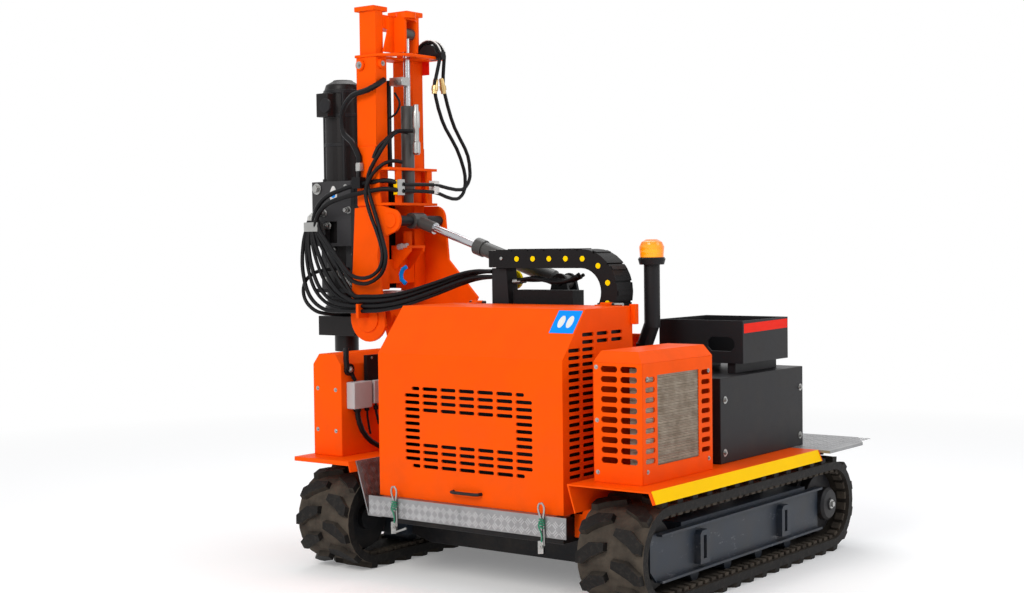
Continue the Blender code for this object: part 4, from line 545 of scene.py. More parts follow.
def turns_of(count, shift=0.0):
    """Angles that share out a full turn."""
    return [2 * math.pi * (k + shift) / count for k in range(count)]


def sweep(grid, route, radius, sides=10):
    """A closed tube along a route, turned as little as possible on the way."""
    side = (route[1] - route[0]).orthogonal().normalized()
    rings = []
    for number, spot in enumerate(route):
        before, after = route[max(number - 1, 0)], route[min(number + 1, len(route) - 1)]
        along = (after - before).normalized()
        side = (side - along * side.dot(along)).normalized()
        other = along.cross(side)
        turns = turns_of(sides)
        rings.append([grid.verts.new(spot + (side * math.cos(t) + other * math.sin(t)) * radius)
                      for t in turns])
    skin_rings(grid, rings)


def skin_rings(grid, rings):
    """Faces between rings of points with the same number in each, and a lid at both ends."""
    faces = [grid.faces.new(rings[0][::-1]), grid.faces.new(rings[-1])]
    for lower, upper in zip(rings, rings[1:]):
        for k in range(len(lower)):
            turn = (k + 1) % len(lower)
            faces.append(grid.faces.new((lower[k], lower[turn], upper[turn], upper[k])))
    bmesh.ops.recalc_face_normals(grid, faces=faces)


def length_of(route):
    return sum((b - a).length for a, b in zip(route, route[1:]))


def thinned(route, count):
    """So many points of a fine route, shared out half by length and half by how sharply it bends."""
    steps = [(b - a).length for a, b in zip(route, route[1:])]
    bends = [0.0] + [(b - a).angle(c - b, 0.0) for a, b, c in zip(route, route[1:], route[2:])]
    worth = [step / sum(steps) + bend / max(sum(bends), 0.001) for step, bend in zip(steps, bends)]
    kept, reached = [route[0]], 0.0
    for number, value in enumerate(worth[:-1]):
        reached += value
        if reached >= sum(worth) * len(kept) / (count - 1) and len(kept) < count - 1:
            kept.append(route[number + 1])
    return kept + [route[-1]]


def finish_piece(name, grid, finish, sharp=40):
    mesh = bpy.data.meshes.new(name)
    grid.to_mesh(mesh)
    grid.free()
    mesh.materials.append(finish)
    mesh.shade_smooth()
    mesh.set_sharp_from_angle(angle=math.radians(sharp))
    return linked(name, mesh)


HOSE_POINTS = 38  # rings of one hose


def free_hose(name, points, radius, body, bends=None, replaced=()):
    """A hose between its two fittings; bends names a second body and where that takes over, which are not
    used: a hose given bends is left tied to no body.
    """
    route = thinned(smooth_route([at(*p) for p in points], 0.004), HOSE_POINTS)
    grid = bmesh.new()
    sweep(grid, route, radius)
    piece = finish_piece(name, grid, HOSE)
    for node in replaced:
        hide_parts(node)
    if bends:
        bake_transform(piece)
    else:
        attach(piece, body)
    length_of(route)
    radius * 2
    print(name, round(length_of(route), 3), "m long,", round(radius * 2000), "mm thick")


# %% [markdown]
# ### The bundle from the cable chain to the mast and on to the hammer
# Seven hoses leave the chain's end clamp in two rows, turn upright side by side at the
# mast, and open like a fan to the hammer's clamp. They move with the slide at one end and
# with the mast at the other; here both halves of each hose are left in place, tied to no body.

# %% The seven hoses of the bundle
CHAIN_SEATS = ((0.578, 1.343), (0.604, 1.343), (0.630, 1.343), (0.656, 1.343),
               (0.591, 1.318), (0.617, 1.318), (0.643, 1.318))
LOW_MIDDLE = ((-0.39, 0.600, 1.331), (-0.48, 0.582, 1.312), (-0.64, 0.568, 1.262), (-0.82, 0.555, 1.212),
              (-0.96, 0.549, 1.190))
FAN_INNER = ((-1.14, 0.550, 1.226), (-1.20, 0.552, 1.285), (-1.265, 0.555, 1.372), (-1.335, 0.562, 1.455),
             (-1.41, 0.575, 1.530), (-1.448, 0.588, 1.600))
FAN_OUTER = ((-1.18, 0.545, 1.146), (-1.34, 0.545, 1.152), (-1.45, 0.548, 1.220), (-1.505, 0.555, 1.350),
             (-1.515, 0.572, 1.490), (-1.492, 0.588, 1.600))
SEAM_X = -1.07  # beside the mast's pivot, where the chain's hoses end and the hammer's begin
SIDE_STEP = 0.009  # every other hose lies this far in front of its neighbour
HOSE_RADII = (0.0085, 0.0092, 0.0105, 0.0088, 0.0100, 0.0092, 0.0100)


def between(first, second, share):
    return tuple(a + (b - a) * share for a, b in zip(first, second))


for number, radius in enumerate(HOSE_RADII):
    share = number / (len(HOSE_RADII) - 1)
    swing = SIDE_STEP if number % 2 else -SIDE_STEP
    seam = (SEAM_X, 0.549 + swing, 1.222 - 0.074 * share)
    seat = CHAIN_SEATS[number]
    low = [(-0.3074, *seat)]
    for step, spot in enumerate(LOW_MIDDLE):
        near = (step + 1) / (len(LOW_MIDDLE) + 0.5)
        low.append((spot[0], spot[1] + (seat[0] - 0.617) * (1 - near) * 0.7 + swing * near,
                    spot[2] + (seat[1] - 1.333) * (1 - near) + (seam[2] - 1.185) * near))
    free_hose("hose_low_%d" % number, low + [seam], radius, "side_shift", ("mast", -0.50, -1.04),
              ["hose_bundle_low"])
    fan = [between(inner, outer, share) for inner, outer in zip(FAN_INNER, FAN_OUTER)]
    fan = [(x, y + swing * (1 - step / 5), z) for step, (x, y, z) in enumerate(fan)]
    free_hose("hose_fan_%d" % number, [seam] + fan, radius, "mast", ("hammer", -1.09, -1.42),
              ["hose_bundle_hammer"])

# %% [markdown]
# ### Hoses of the mast and the hammer
# Two thicker hoses carry oil from the mast's shelf to the hammer, and two others rise
# from there round the mast's far side to the wheel. Three more make loops, two in front
# of the near plate and one beside the hammer.

# %% Single hoses
WHEEL_PLACE = (-0.962, 2.4176)  # the hose wheel's middle


def over_wheel(y, reach):
    turns = [math.radians(a) for a in range(0, 181, 30)]
    return [(WHEEL_PLACE[0] + math.cos(t) * reach, y, WHEEL_PLACE[1] + math.sin(t) * reach) for t in turns]


SINGLE_HOSES = (  # (name, radius, body, bends, route)
    ("hose_supply_0", 0.0120, "mast", ("hammer", -1.09, -1.42), (
        (-0.905, 0.655, 1.768), (-0.992, 0.615, 1.790), (-1.154, 0.580, 1.772), (-1.282, 0.578, 1.744),
        (-1.370, 0.582, 1.714), (-1.428, 0.586, 1.668), (-1.457, 0.588, 1.612), (-1.462, 0.590, 1.560))),
    ("hose_supply_1", 0.0120, "mast", ("hammer", -1.09, -1.42), (
        (-0.905, 0.655, 1.736), (-0.992, 0.600, 1.748), (-1.155, 0.562, 1.724), (-1.275, 0.558, 1.700),
        (-1.345, 0.560, 1.676), (-1.402, 0.566, 1.634), (-1.430, 0.574, 1.585), (-1.438, 0.582, 1.550))),
    ("hose_loop_inner", 0.0092, "mast", None, (
        (-0.905, 0.655, 1.736), (-0.90, 0.780, 1.738), (-0.895, 0.888, 1.733), (-0.89, 0.965, 1.712),
        (-0.89, 1.033, 1.702), (-0.89, 1.077, 1.714), (-0.89, 1.107, 1.744), (-0.89, 1.118, 1.790),
        (-0.89, 1.108, 1.855), (-0.895, 1.058, 1.960), (-0.91, 0.968, 2.090), (-0.91, 0.908, 2.242),
        (-0.902, 0.915, 2.330), *over_wheel(0.923, 0.078))),
    ("hose_loop_outer", 0.0092, "mast", None, (
        (-0.905, 0.655, 1.768), (-0.90, 0.780, 1.771), (-0.892, 0.888, 1.770), (-0.89, 0.994, 1.755),
        (-0.89, 1.070, 1.750), (-0.89, 1.115, 1.762), (-0.89, 1.147, 1.795), (-0.89, 1.158, 1.842),
        (-0.89, 1.135, 1.940), (-0.91, 1.052, 2.083), (-0.91, 0.982, 2.248), (-0.902, 0.966, 2.330),
        *over_wheel(0.955, 0.078))),
    ("hose_front_loop_0", 0.0100, "mast", ("hammer", -1.09, -1.40), (
        (-0.957, 0.745, 2.030), (-0.957, 0.700, 2.036), (-0.962, 0.650, 2.020), (-0.985, 0.605, 1.962),
        (-1.020, 0.585, 1.900), (-1.058, 0.578, 1.840), (-1.074, 0.577, 1.780),
        (-1.056, 0.575, 1.710), (-1.015, 0.568, 1.620), (-0.965, 0.560, 1.500), (-0.940, 0.555, 1.410),
        (-0.970, 0.550, 1.330), (-1.060, 0.548, 1.284), (-1.160, 0.548, 1.298), (-1.240, 0.552, 1.372),
        (-1.330, 0.560, 1.462), (-1.405, 0.575, 1.535), (-1.430, 0.585, 1.600))),
    ("hose_front_loop_1", 0.0095, "mast", ("hammer", -1.09, -1.40), (
        (-0.955, 0.700, 1.882), (-0.962, 0.640, 1.886), (-0.995, 0.596, 1.866), (-1.045, 0.572, 1.812),
        (-1.075, 0.563, 1.735), (-1.050, 0.560, 1.640),
        (-0.995, 0.556, 1.530), (-0.960, 0.552, 1.430), (-0.975, 0.540, 1.352), (-1.050, 0.532, 1.312),
        (-1.150, 0.534, 1.325), (-1.235, 0.540, 1.400), (-1.330, 0.552, 1.490), (-1.395, 0.568, 1.550),
        (-1.420, 0.580, 1.600))),
    ("hose_side_loop", 0.0095, "hammer", None, (
        (-1.335, 0.712, 1.352), (-1.350, 0.655, 1.352), (-1.388, 0.605, 1.350), (-1.445, 0.576, 1.336),
        (-1.497, 0.566, 1.298), (-1.514, 0.562, 1.243), (-1.492, 0.562, 1.186), (-1.440, 0.574, 1.142),
        (-1.395, 0.612, 1.126), (-1.380, 0.662, 1.126), (-1.385, 0.697, 1.130))),
)
for name, radius, body, bends, points in SINGLE_HOSES:
    free_hose(name, points, radius, body, bends)
print("single hoses:", len(SINGLE_HOSES))

# %% [markdown]
# ## Small fittings
# Clamps, brackets and valves are small turned and sawn blocks. A kit gathers those of one
# finish on one body into a single mesh, so that each body carries few pieces.


# %% A kit of blocks, lathe shapes and bent bars
class Kit:
    """Small fittings gathered into one mesh, for one body and one finish."""

    def __init__(self):
        self.grid = bmesh.new()

    def prism(self, axis, outline, low, high):
        """An outline in the other two axes, pulled from low to high along this one."""
        order = {"x": (2, 0, 1), "y": (0, 2, 1), "z": (0, 1, 2)}[axis]
        rings = []
        for depth in (low, high):
            spots = [(*spot, depth) for spot in outline]
            rings.append([self.grid.verts.new(at(*(spot[k] for k in order))) for spot in spots])
        skin_rings(self.grid, rings)

    def box(self, low, high):
        (x, y, z), (u, v, w) = low, high
        self.prism("z", ((x, y), (u, y), (u, v), (x, v)), z, w)

    def turned(self, foot, along, profile, sides=18):
        """A lathe shape from (distance from the foot, radius) pairs."""
        foot, along = Vector(foot), Vector(along).normalized()
        side = along.orthogonal().normalized()
        other = along.cross(side)
        turns = turns_of(sides, 0.5)
        rings = []
        for far, radius in profile:
            spots = [foot + along * far + (side * math.cos(t) + other * math.sin(t)) * radius
                     for t in turns]
            rings.append([self.grid.verts.new(at(*spot)) for spot in spots])
        skin_rings(self.grid, rings)

    def rod(self, start, end, radius, sides=14):
        along = Vector(end) - Vector(start)
        self.turned(start, along, ((0, radius), (along.length, radius)), sides)

    def bar(self, points, radius, spacing=None, sides=8):
        sweep(self.grid, smooth_route([at(*p) for p in points], spacing or radius * 2.5), radius, sides)

    def ring(self, middle, across, reach, radius, sides=8, steps=24):
        """A round hoop whose axis runs along across."""
        middle, across = at(*middle), Vector(across).normalized()
        side = across.orthogonal().normalized()
        other = across.cross(side)
        rows = []
        for t in turns_of(steps):
            out = side * math.cos(t) + other * math.sin(t)
            row = [out * (reach + radius * math.cos(u)) + across * radius * math.sin(u)
                   for u in turns_of(sides)]
            rows.append([self.grid.verts.new(middle + offset) for offset in row])
        faces = []
        for lower, upper in zip(rows, rows[1:] + rows[:1]):
            for k in range(sides):
                turn = (k + 1) % sides
                faces.append(self.grid.faces.new((lower[k], lower[turn], upper[turn], upper[k])))
        bmesh.ops.recalc_face_normals(self.grid, faces=faces)

    def done(self, name, finish, body, slot, width=0.0008):
        piece = finish_piece(name, self.grid, finish)
        if width:
            round_edges(piece, width, 1)
        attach(piece, body)
        print(name, len(piece.data.polygons), "faces")


# %% [markdown]
# ### On the hood and the bumper
# A black bow handle opens the hood. It is a round bar bent through six points, with both
# feet sunk a little into the sheet, as a welded handle's are.

# %% Handle
HANDLE_HEIGHT = 0.414
HANDLE_BEND = ((-0.076, 0.004), (-0.072, -0.020), (-0.055, -0.027),
               (0.055, -0.027), (0.072, -0.020), (0.076, 0.004))
handle = Kit()
handle.bar([(x, y, HANDLE_HEIGHT) for x, y in HANDLE_BEND], 0.0075)
handle.done("hood_handle", GRAPHITE, "hood_lid", "graphite_paint")

# %% [markdown]
# The mark sits on the hood's sloping chamfer. Its corners are worked out from the slope's
# two edges, so that it lies flat on the sheet. It stays plain blue with two white dots.

# %% The mark on the chamfer
CHAMFER = ((0.994, 0.0), (1.197, 0.172))  # the chamfer's lower and upper edge as (z, y)


def on_chamfer(x, z, lift):
    share = (z - CHAMFER[0][0]) / (CHAMFER[1][0] - CHAMFER[0][0])
    y = CHAMFER[0][1] + share * (CHAMFER[1][1] - CHAMFER[0][1])
    return x, y - lift * 0.763, z + lift * 0.646


def patch(kit, corners, low, high):
    """A thin plate on the hood's chamfer, from (x, z) corners."""
    rings = [[kit.grid.verts.new(at(*on_chamfer(x, z, lift))) for x, z in corners] for lift in (low, high)]
    skin_rings(kit.grid, rings)


mark = Kit()
patch(mark, ((0.371, 1.100), (0.492, 1.100), (0.492, 1.190), (0.371, 1.190)), -0.001, 0.0006)
mark.done("hood_mark", BLUE, "hood_lid", "orange_paint", 0)
mark = Kit()
for x in (0.410, 0.453):
    dot = [(x + 0.016 * math.cos(t), 1.145 + 0.024 * math.sin(t)) for t in turns_of(20)]
    patch(mark, dot, 0.0, 0.0009)
mark.done("hood_mark_dots", WHITE, "hood_lid", "orange_paint", 0)

# %% [markdown]
# Behind the slots of both sides lies a dark sheet of painted shade, for the hood's shaded
# inside. Behind the slots of both sides lies dark foam, a guess from other engine hoods.
# Without it the slots would show the bright floor through the empty shell.

# %% Painted shade behind the side slots
SHADE_SHEET = 0.003
SIDE_OUTLINE = ((0.012, 0.372), (0.515, 0.372), (0.515, 1.185), (0.172, 1.185), (0.012, 0.985))
# a dark sheet of painted shade behind each side's slots
shade_sheet = Kit()
for x in (-0.4835, 0.4805):
    shade_sheet.prism("x", SIDE_OUTLINE, x, x + SHADE_SHEET)
shade_sheet.done("hood_shade_sheet", HOSE, "hood_lid", "graphite_paint", 0)

# %% [markdown]
# Two spring pins lock the hood to the bumper. Each is a bent wire with a tag and a bolt,
# and its green lanyard is wound round it in a few turns.

# %% Spring pins and lanyards
PIN_BOW = ((-0.002, -0.040, 0.345), (-0.012, -0.041, 0.375),
           (-0.015, -0.042, 0.395), (-0.008, -0.043, 0.412),
           (0.005, -0.043, 0.415), (0.014, -0.042, 0.402), (0.014, -0.041, 0.382), (0.006, -0.040, 0.345))
PIN_LEGS = ((0.0046, ((-0.002, -0.041, 0.352), (0.001, -0.041, 0.310), (0.001, -0.041, 0.262))),
            (0.0036, ((0.006, -0.041, 0.352), (0.013, -0.042, 0.305), (0.014, -0.041, 0.240))))
LANYARD_TURNS = ((0.346, 0.0105), (0.336, 0.0115), (0.326, 0.0100), (0.314, 0.0095))  # (height, reach)
LANYARD_END = ((-0.004, -0.050, 0.340), (-0.008, -0.050, 0.318), (0.002, -0.051, 0.300),
               (0.008, -0.050, 0.278), (0.004, -0.048, 0.256))
BOLT_HEAD = ((0, 0.011), (0.004, 0.011), (0.005, 0.006), (0.009, 0.006))


def aside(x, route):
    """A route given round x = 0, set beside x."""
    return [(x + off, y, z) for off, y, z in route]


pins = Kit()
lanyards = Kit()
for x in (-0.380, 0.418):
    pins.bar(aside(x, PIN_BOW), 0.0046)
    for radius, leg in PIN_LEGS:
        pins.bar(aside(x, leg), radius)
    tag = ((x - 0.015, 0.205), (x + 0.012, 0.209), (x + 0.012, 0.262), (x - 0.015, 0.258))
    pins.prism("y", tag, -0.047, -0.037)
    pins.turned((x - 0.002, -0.047, 0.238), (0, -1, 0), BOLT_HEAD, 12)
    for height, reach in LANYARD_TURNS:
        lanyards.ring((x + 0.003, -0.043, height), (0.15, 0.35, 1), reach, 0.0033)
    lanyards.bar(aside(x, LANYARD_END), 0.0030)
lever = ((-0.385, -0.045, 0.212), (-0.352, -0.047, 0.222), (-0.318, -0.047, 0.234), (-0.306, -0.047, 0.240))
pins.bar(lever, 0.0048)
pins.done("bumper_pins", ZINC, "root", "rod_chrome", 0)
lanyards.done("bumper_lanyards", GREEN, "root", "orange_paint", 0)

# %% [markdown]
# The hood turns on two steel pins at its rear top edge. They ride on the hood and lie on
# the line that its joint turns about, so they stay in place when it opens.

# %% Hinge pins and block
hinges = Kit()
for x in (-0.36, 0.40):
    hinges.rod((x - 0.045, 0.541, 1.201), (x + 0.045, 0.541, 1.201), 0.0080)
hinges.done("hood_hinge_pins", ZINC, "hood_lid", "rod_chrome")
hinge_block = Kit()
hinge_block.box((0.492, 0.516, 1.118), (0.522, 0.546, 1.205))
hinge_block.done("hood_hinge_block", ORANGE, "root", "orange_paint", 0.002)

# %% [markdown]
# ### Lamp, stripes and the parts at the side
# The beacon stands on a pipe. A flared black ring joins the two, and its place is read
# from the lens, so that it fits however the lens was packed.

# %% Beacon ring
LENS_LOW, LENS_HIGH = (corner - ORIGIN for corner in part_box("beacon_lens"))
LENS_X, LENS_Y = (LENS_LOW.x + LENS_HIGH.x) / 2, (LENS_LOW.y + LENS_HIGH.y) / 2
socket = Kit()
flare = ((0, 0.030), (0.004, 0.046), (0.016, 0.058), (0.024, 0.058))
socket.turned((LENS_X, LENS_Y, LENS_LOW.z - 0.022), (0, 0, 1), flare, 28)
socket.turned((LENS_X, LENS_Y, 1.300), (0, 0, 1), ((0, 0.0185), (0.078, 0.0185)), 18)
socket.done("beacon_ring", GRAPHITE, "root", "graphite_paint", 0)

# %% [markdown]
# Tape is a thin strip a little proud of its sheet. The yellow one follows the fender's
# slanted lip and the red one the tray's upper edge.

# %% Yellow and red tape
tape = Kit()
tape.prism("y", ((0.9560, 0.5095), (0.9580, 0.5105), (0.9785, 0.4610), (0.9765, 0.4600)), -0.060, 1.372)
tape.done("fender_tape", YELLOW, "root", "orange_paint", 0)
tape = Kit()
tape.prism("x", ((0.972, 1.062), (1.386, 1.068), (1.386, 1.110), (0.972, 1.104)), 0.7985, 0.8008)
tape.done("tray_tape", RED, "root", "graphite_paint", 0)

# %% [markdown]
# Between the side box and the hood hang a round switch, a small case and three cables
# with moulded ends. The cables are bars swept along points that sag to the deck.

# %% Switch gear
SWITCH = (0.075, 0.905)  # the round switch's middle as (y, z)
CABLES = (  # (radius, route)
    (0.013, ((-0.745, 0.062, 0.905), (-0.745, 0.055, 0.955), (-0.748, 0.060, 1.005))),
    (0.009, ((-0.745, 0.088, 0.900), (-0.745, 0.100, 0.870), (-0.738, 0.108, 0.852))),
    (0.0125, ((-0.731, 0.110, 0.735), (-0.731, 0.112, 0.690), (-0.725, 0.135, 0.620),
              (-0.715, 0.185, 0.565), (-0.700, 0.250, 0.530))),
    (0.0050, ((-0.731, 0.175, 0.735), (-0.731, 0.178, 0.680), (-0.728, 0.185, 0.630),
              (-0.725, 0.190, 0.600))),
    (0.0060, ((-0.731, 0.236, 0.745), (-0.731, 0.238, 0.700), (-0.726, 0.250, 0.640))),
)
CABLE_ENDS = ((0.110, 0.018), (0.175, 0.012), (0.236, 0.012))  # (y, width) of the moulded ends
gear = Kit()
gear.prism("x", [(SWITCH[0] + 0.028 * math.cos(t), SWITCH[1] + 0.028 * math.sin(t)) for t in turns_of(16)],
           -0.752, -0.738)
gear.box((-0.742, 0.170, 0.848), (-0.722, 0.262, 0.965))
for radius, route in CABLES:
    gear.bar(route, radius)
for y, width in CABLE_ENDS:
    gear.turned((-0.731, y, 0.708), (0, 0, 1), ((0, width * 0.8), (0.004, width), (0.020, width)), 10)
gear.done("side_gear", HOSE, "root", "graphite_paint", 0)
latches = Kit()
switch_nut = ((0, 0.014), (0.005, 0.014), (0.006, 0.008), (0.012, 0.008))
latches.turned((-0.738, *SWITCH), (1, 0, 0), switch_nut, 12)
latches.rod((-0.722, 0.200, 0.952), (-0.716, 0.200, 0.952), 0.006)
latches.done("side_gear_bolts", ZINC, "root", "rod_chrome")

# %% [markdown]
# ### Hub, chain and slide
# The drive wheel's hub carries a motor cap with one large bolt. Both are lathe shapes on
# the drive axle, the bolt's head with six sides.

# %% Wheel hubs
HUB = (REAR_AXLE_Y, AXLE_Z)
CAP = ((0, 0.078), (0.026, 0.078), (0.038, 0.066), (0.040, 0.030), (0.046, 0.028))
hubs = Kit()
for side in (-1, 1):
    face = side * 0.901
    hubs.turned((face - side * 0.03, *HUB), (side, 0, 0), CAP, 28)
hubs.done("hub_caps", GRAPHITE, "root", "graphite_paint")
hub_bolts = Kit()
for side in (-1, 1):
    hub_bolts.turned((side * 0.915, *HUB), (side, 0, 0), ((0, 0.022), (0.004, 0.022)), 18)
    hub_bolts.turned((side * 0.919, *HUB), (side, 0, 0), ((0, 0.014), (0.010, 0.014)), 6)
hub_bolts.done("hub_bolts", ZINC, "root", "rod_chrome")

# %% [markdown]
# A bright clamp holds the chain's moving end, and its rod rides with it. Inside the loop
# lie a yellow pulley, a dark box and four short hoses with hexagon nuts.

# %% Chain clamp and what lies in the loop
clamp = Kit()
clamp.box((-0.306, 0.566, 1.362), (-0.254, 0.576, 1.441))
clamp.rod((-0.230, 0.552, 1.404), (-0.230, 0.562, 1.404), 0.008)
clamp.done("chain_clamp", ZINC, "cable_chain", "rod_chrome")
PULLEY = ((0, 0.030), (0.006, 0.044), (0.022, 0.044), (0.028, 0.030))
loop_yellow = Kit()
loop_yellow.turned((-0.268, 0.695, 1.302), (0, 1, 0), PULLEY, 20)
inside = Kit()
inside.box((-0.198, 0.600, 1.178), (0.137, 0.690, 1.258))
for shift, lift in ((0.0, 0.0), (0.018, 0.010), (0.036, -0.004), (0.054, 0.006)):
    inside.bar(((-0.200, 0.612 + shift, 1.296 + lift), (-0.100, 0.610 + shift, 1.312 - lift),
                (0.020, 0.606 + shift, 1.296 + lift), (0.100, 0.604 + shift, 1.300),
                (0.160, 0.604 + shift, 1.322 + lift)), 0.0085)
inside.done("loop_hoses", HOSE, "side_shift", "hose_rubber")
LONG_NUT = ((0, 0.013), (0.026, 0.013), (0.027, 0.010), (0.044, 0.010))
nuts = Kit()
for shift in (0.0, 0.036):
    nuts.turned((-0.204, 0.612 + shift, 1.296), (1, 0.02, 0.05), LONG_NUT, 6)
nuts.done("loop_nuts", ZINC, "side_shift", "rod_chrome")
loop_yellow.done("loop_pulley", LEMON, "side_shift", "orange_paint", 0)

# %% [markdown]
# ### Fittings of the mast and the hammer
# Steel clamps hold the hoses at the mast's shelf, and a bright valve stands beside the
# lift cylinder. Both are blocks and lathe shapes on the mast.

# %% Clamps and valve of the mast
PIPE_NUT = ((0, 0.017), (0.004, 0.022), (0.040, 0.022), (0.046, 0.016))
VALVE = ((0, 0.013), (0.010, 0.020), (0.060, 0.020), (0.070, 0.014), (0.130, 0.014),
         (0.140, 0.019), (0.210, 0.019), (0.222, 0.013), (0.250, 0.013))
bright = Kit()
bright.box((-0.924, 0.630, 1.716), (-0.904, 0.662, 1.794))
bright.box((-1.030, 0.700, 2.262), (-0.948, 0.756, 2.302))
bright.turned((-1.138, 0.590, 1.838), (0, 0, 1), PIPE_NUT, 6)
bright.turned((-0.920, 0.772, 1.918), (0, 0, 1), VALVE, 16)
bright.done("mast_bright_fittings", ZINC, "mast", "rod_chrome")

# %% [markdown]
# The two loop hoses carry brass sleeves below the wheel, wide where they are crimped, and
# pale stripes show on them where they pass over it.

# %% Brass sleeves and pale stripes
SLEEVE = ((0, 0.0135), (0.016, 0.0135), (0.017, 0.0175), (0.040, 0.0175), (0.041, 0.0135),
          (0.070, 0.0135), (0.078, 0.0110))
sleeves = Kit()
for y, z, lean in ((0.904, 2.242, 0.013), (0.978, 2.248, -0.016)):
    sleeves.turned((-0.910, y, z - 0.012), (0, lean, 0.073), SLEEVE, 12)
sleeves.done("mast_brass_sleeves", BRASS, "mast", "rod_chrome", 0)

cream = Kit()
for y in (0.923, 0.955):
    cream.bar(over_wheel(y, 0.0845)[:-1], 0.0052, 0.012, 8)
cream.box((-0.922, 0.868, 1.726), (-0.886, 0.905, 1.792))
cream.done("mast_pale_hoses", WHITE, "mast", "hose_rubber", 0)

# %% [markdown]
# A bent pipe runs down the near post to its valve. Behind it hang straight hoses and a
# few thinner ones. They never move against the mast, so they are bars in one kit.

# %% Pipe and fixed hoses of the mast
PIPE = ((-1.03, 0.660, 2.290), (-1.02, 0.600, 2.262), (-1.07, 0.578, 2.236), (-1.166, 0.578, 2.216),
        (-1.235, 0.585, 2.156), (-1.261, 0.600, 2.094), (-1.247, 0.600, 2.029), (-1.190, 0.590, 1.990),
        (-1.161, 0.588, 1.954), (-1.138, 0.588, 1.911), (-1.138, 0.588, 1.880))
THIN_LOOP = ((-0.998, 0.703, 2.227), (-0.966, 0.703, 2.175), (-0.990, 0.703, 2.127), (-1.042, 0.703, 2.100))
SHORT_HOSE = ((-0.920, 0.745, 2.035), (-0.957, 0.665, 2.032), (-0.995, 0.630, 1.992),
              (-1.024, 0.600, 1.951), (-1.040, 0.585, 1.900))
dark = Kit()
dark.bar(PIPE, 0.0145)
dark.box((-1.165, 0.560, 1.755), (-1.110, 0.603, 1.810))
dark.bar([(-1.138, 0.585, 1.845), (-1.138, 0.583, 1.800)], 0.012)
for x, y in ((-1.035, 0.705), (-1.050, 0.700), (-1.062, 0.708)):
    straight_hose = [(x, y, 2.290), (x - 0.003, y + 0.004, 2.150), (x + 0.004, y - 0.004, 1.960),
                     (x, y + 0.003, 1.861)]
    dark.bar(straight_hose, 0.0085, 0.04)
dark.bar(THIN_LOOP, 0.0055)
dark.bar(SHORT_HOSE, 0.0095)
dark.bar([(-0.948, 0.930, 2.420), (-0.868, 0.930, 2.420)], 0.020)
dark.done("mast_dark_pipes", HOSE, "mast", "hose_rubber", 0)

# %% [markdown]
# Small coloured pieces sit on the mast: a ring welded round the pivot, two round bosses,
# a yellow strap at the shelf and a red latch at the top.

# %% Ring, bosses, strap and latch
rings = Kit()
rings.ring((-0.942, 0.5985, 1.588), (0, 1, 0), 0.048, 0.0030, 6, 32)
rings.turned((-1.137, 0.606, 2.366), (0, -1, 0), ((0, 0.026), (0.008, 0.025), (0.010, 0.022)), 20)
rings.turned((-1.041, 0.650, 2.371), (1, 0, 0), ((0, 0.026), (0.012, 0.025), (0.015, 0.020)), 20)
rings.done("mast_plate_ring", ORANGE, "mast", "orange_paint", 0)
strap = Kit()
strap.box((-0.950, 0.630, 1.720), (-0.926, 0.662, 1.790))
strap.done("mast_strap", YELLOW, "mast", "orange_paint", 0)
latch = Kit()
latch.box((-1.056, 0.966, 2.336), (-0.997, 0.972, 2.417))
latch.done("mast_red_latch", RED, "mast", "orange_paint")

# %% [markdown]
# On the hammer the hoses pass under one long clamp and end in hexagon unions. A union is
# one six-sided lathe shape, set down at every port.

# %% Clamp and unions of the hammer
UNION = ((0, 0.020), (0.004, 0.020), (0.005, 0.015), (0.022, 0.015), (0.023, 0.0115), (0.034, 0.0115))
PORTS = ((-1.28, 0.659, 1.652), (-1.421, 0.659, 1.575), (-1.414, 0.721, 1.451), (-1.426, 0.721, 1.348),
         (-1.284, 0.721, 1.428), (-1.450, 0.659, 1.640), (-1.492, 0.659, 1.640))
hose_clamp = Kit()
hose_clamp.box((-1.508, 0.566, 1.545), (-1.412, 0.612, 1.592))
hose_clamp.box((-1.508, 0.612, 1.556), (-1.412, 0.660, 1.581))
hose_clamp.turned((-1.497, 0.655, 1.764), (0, -1, 0), ((0, 0.029), (0.003, 0.029)), 24)
hose_clamp.turned((-1.497, 0.652, 1.764), (0, -1, 0), ((0, 0.019), (0.014, 0.019), (0.016, 0.017)), 6)
for port in PORTS:
    hose_clamp.turned(port, (0, -1, 0), UNION, 6)
for k in range(5):
    x = -1.448 - 0.011 * k
    stub = [(x, 0.588, 1.590), (x, 0.590, 1.618), (x, 0.610, 1.634), (x, 0.660, 1.640 - 0.01 * (k % 2))]
    hose_clamp.bar(stub, 0.0085)
hose_clamp.done("hammer_bright_fittings", ZINC, "hammer", "rod_chrome")

# %% [markdown]
# A coil spring on a thin rod lies at the hammer's side. Its wire is swept along a helix
# that a formula gives, eight points to a turn.

# %% Coil spring
spring = Kit()
COIL_TURNS, COIL_POINTS, COIL_REACH = 9, 8, 0.016
coil_end = COIL_TURNS * COIL_POINTS
wire = []
for point in range(coil_end + 1):
    turn = 2 * math.pi * point / COIL_POINTS
    wire.append((-1.330 + 0.10 * point / coil_end, 0.626 + COIL_REACH * math.sin(turn),
                 1.345 - 0.075 * point / coil_end + COIL_REACH * math.cos(turn)))
spring.bar(wire, 0.0030, 0.02, 6)
spring.rod((-1.322, 0.626, 1.340), (-1.235, 0.626, 1.272), 0.006)
spring.done("hammer_spring", ZINC, "hammer", "rod_chrome", 0)

# %% [markdown]
# The hammer's mark is an egg-shaped white plate with a blue disc, and it stays plain.

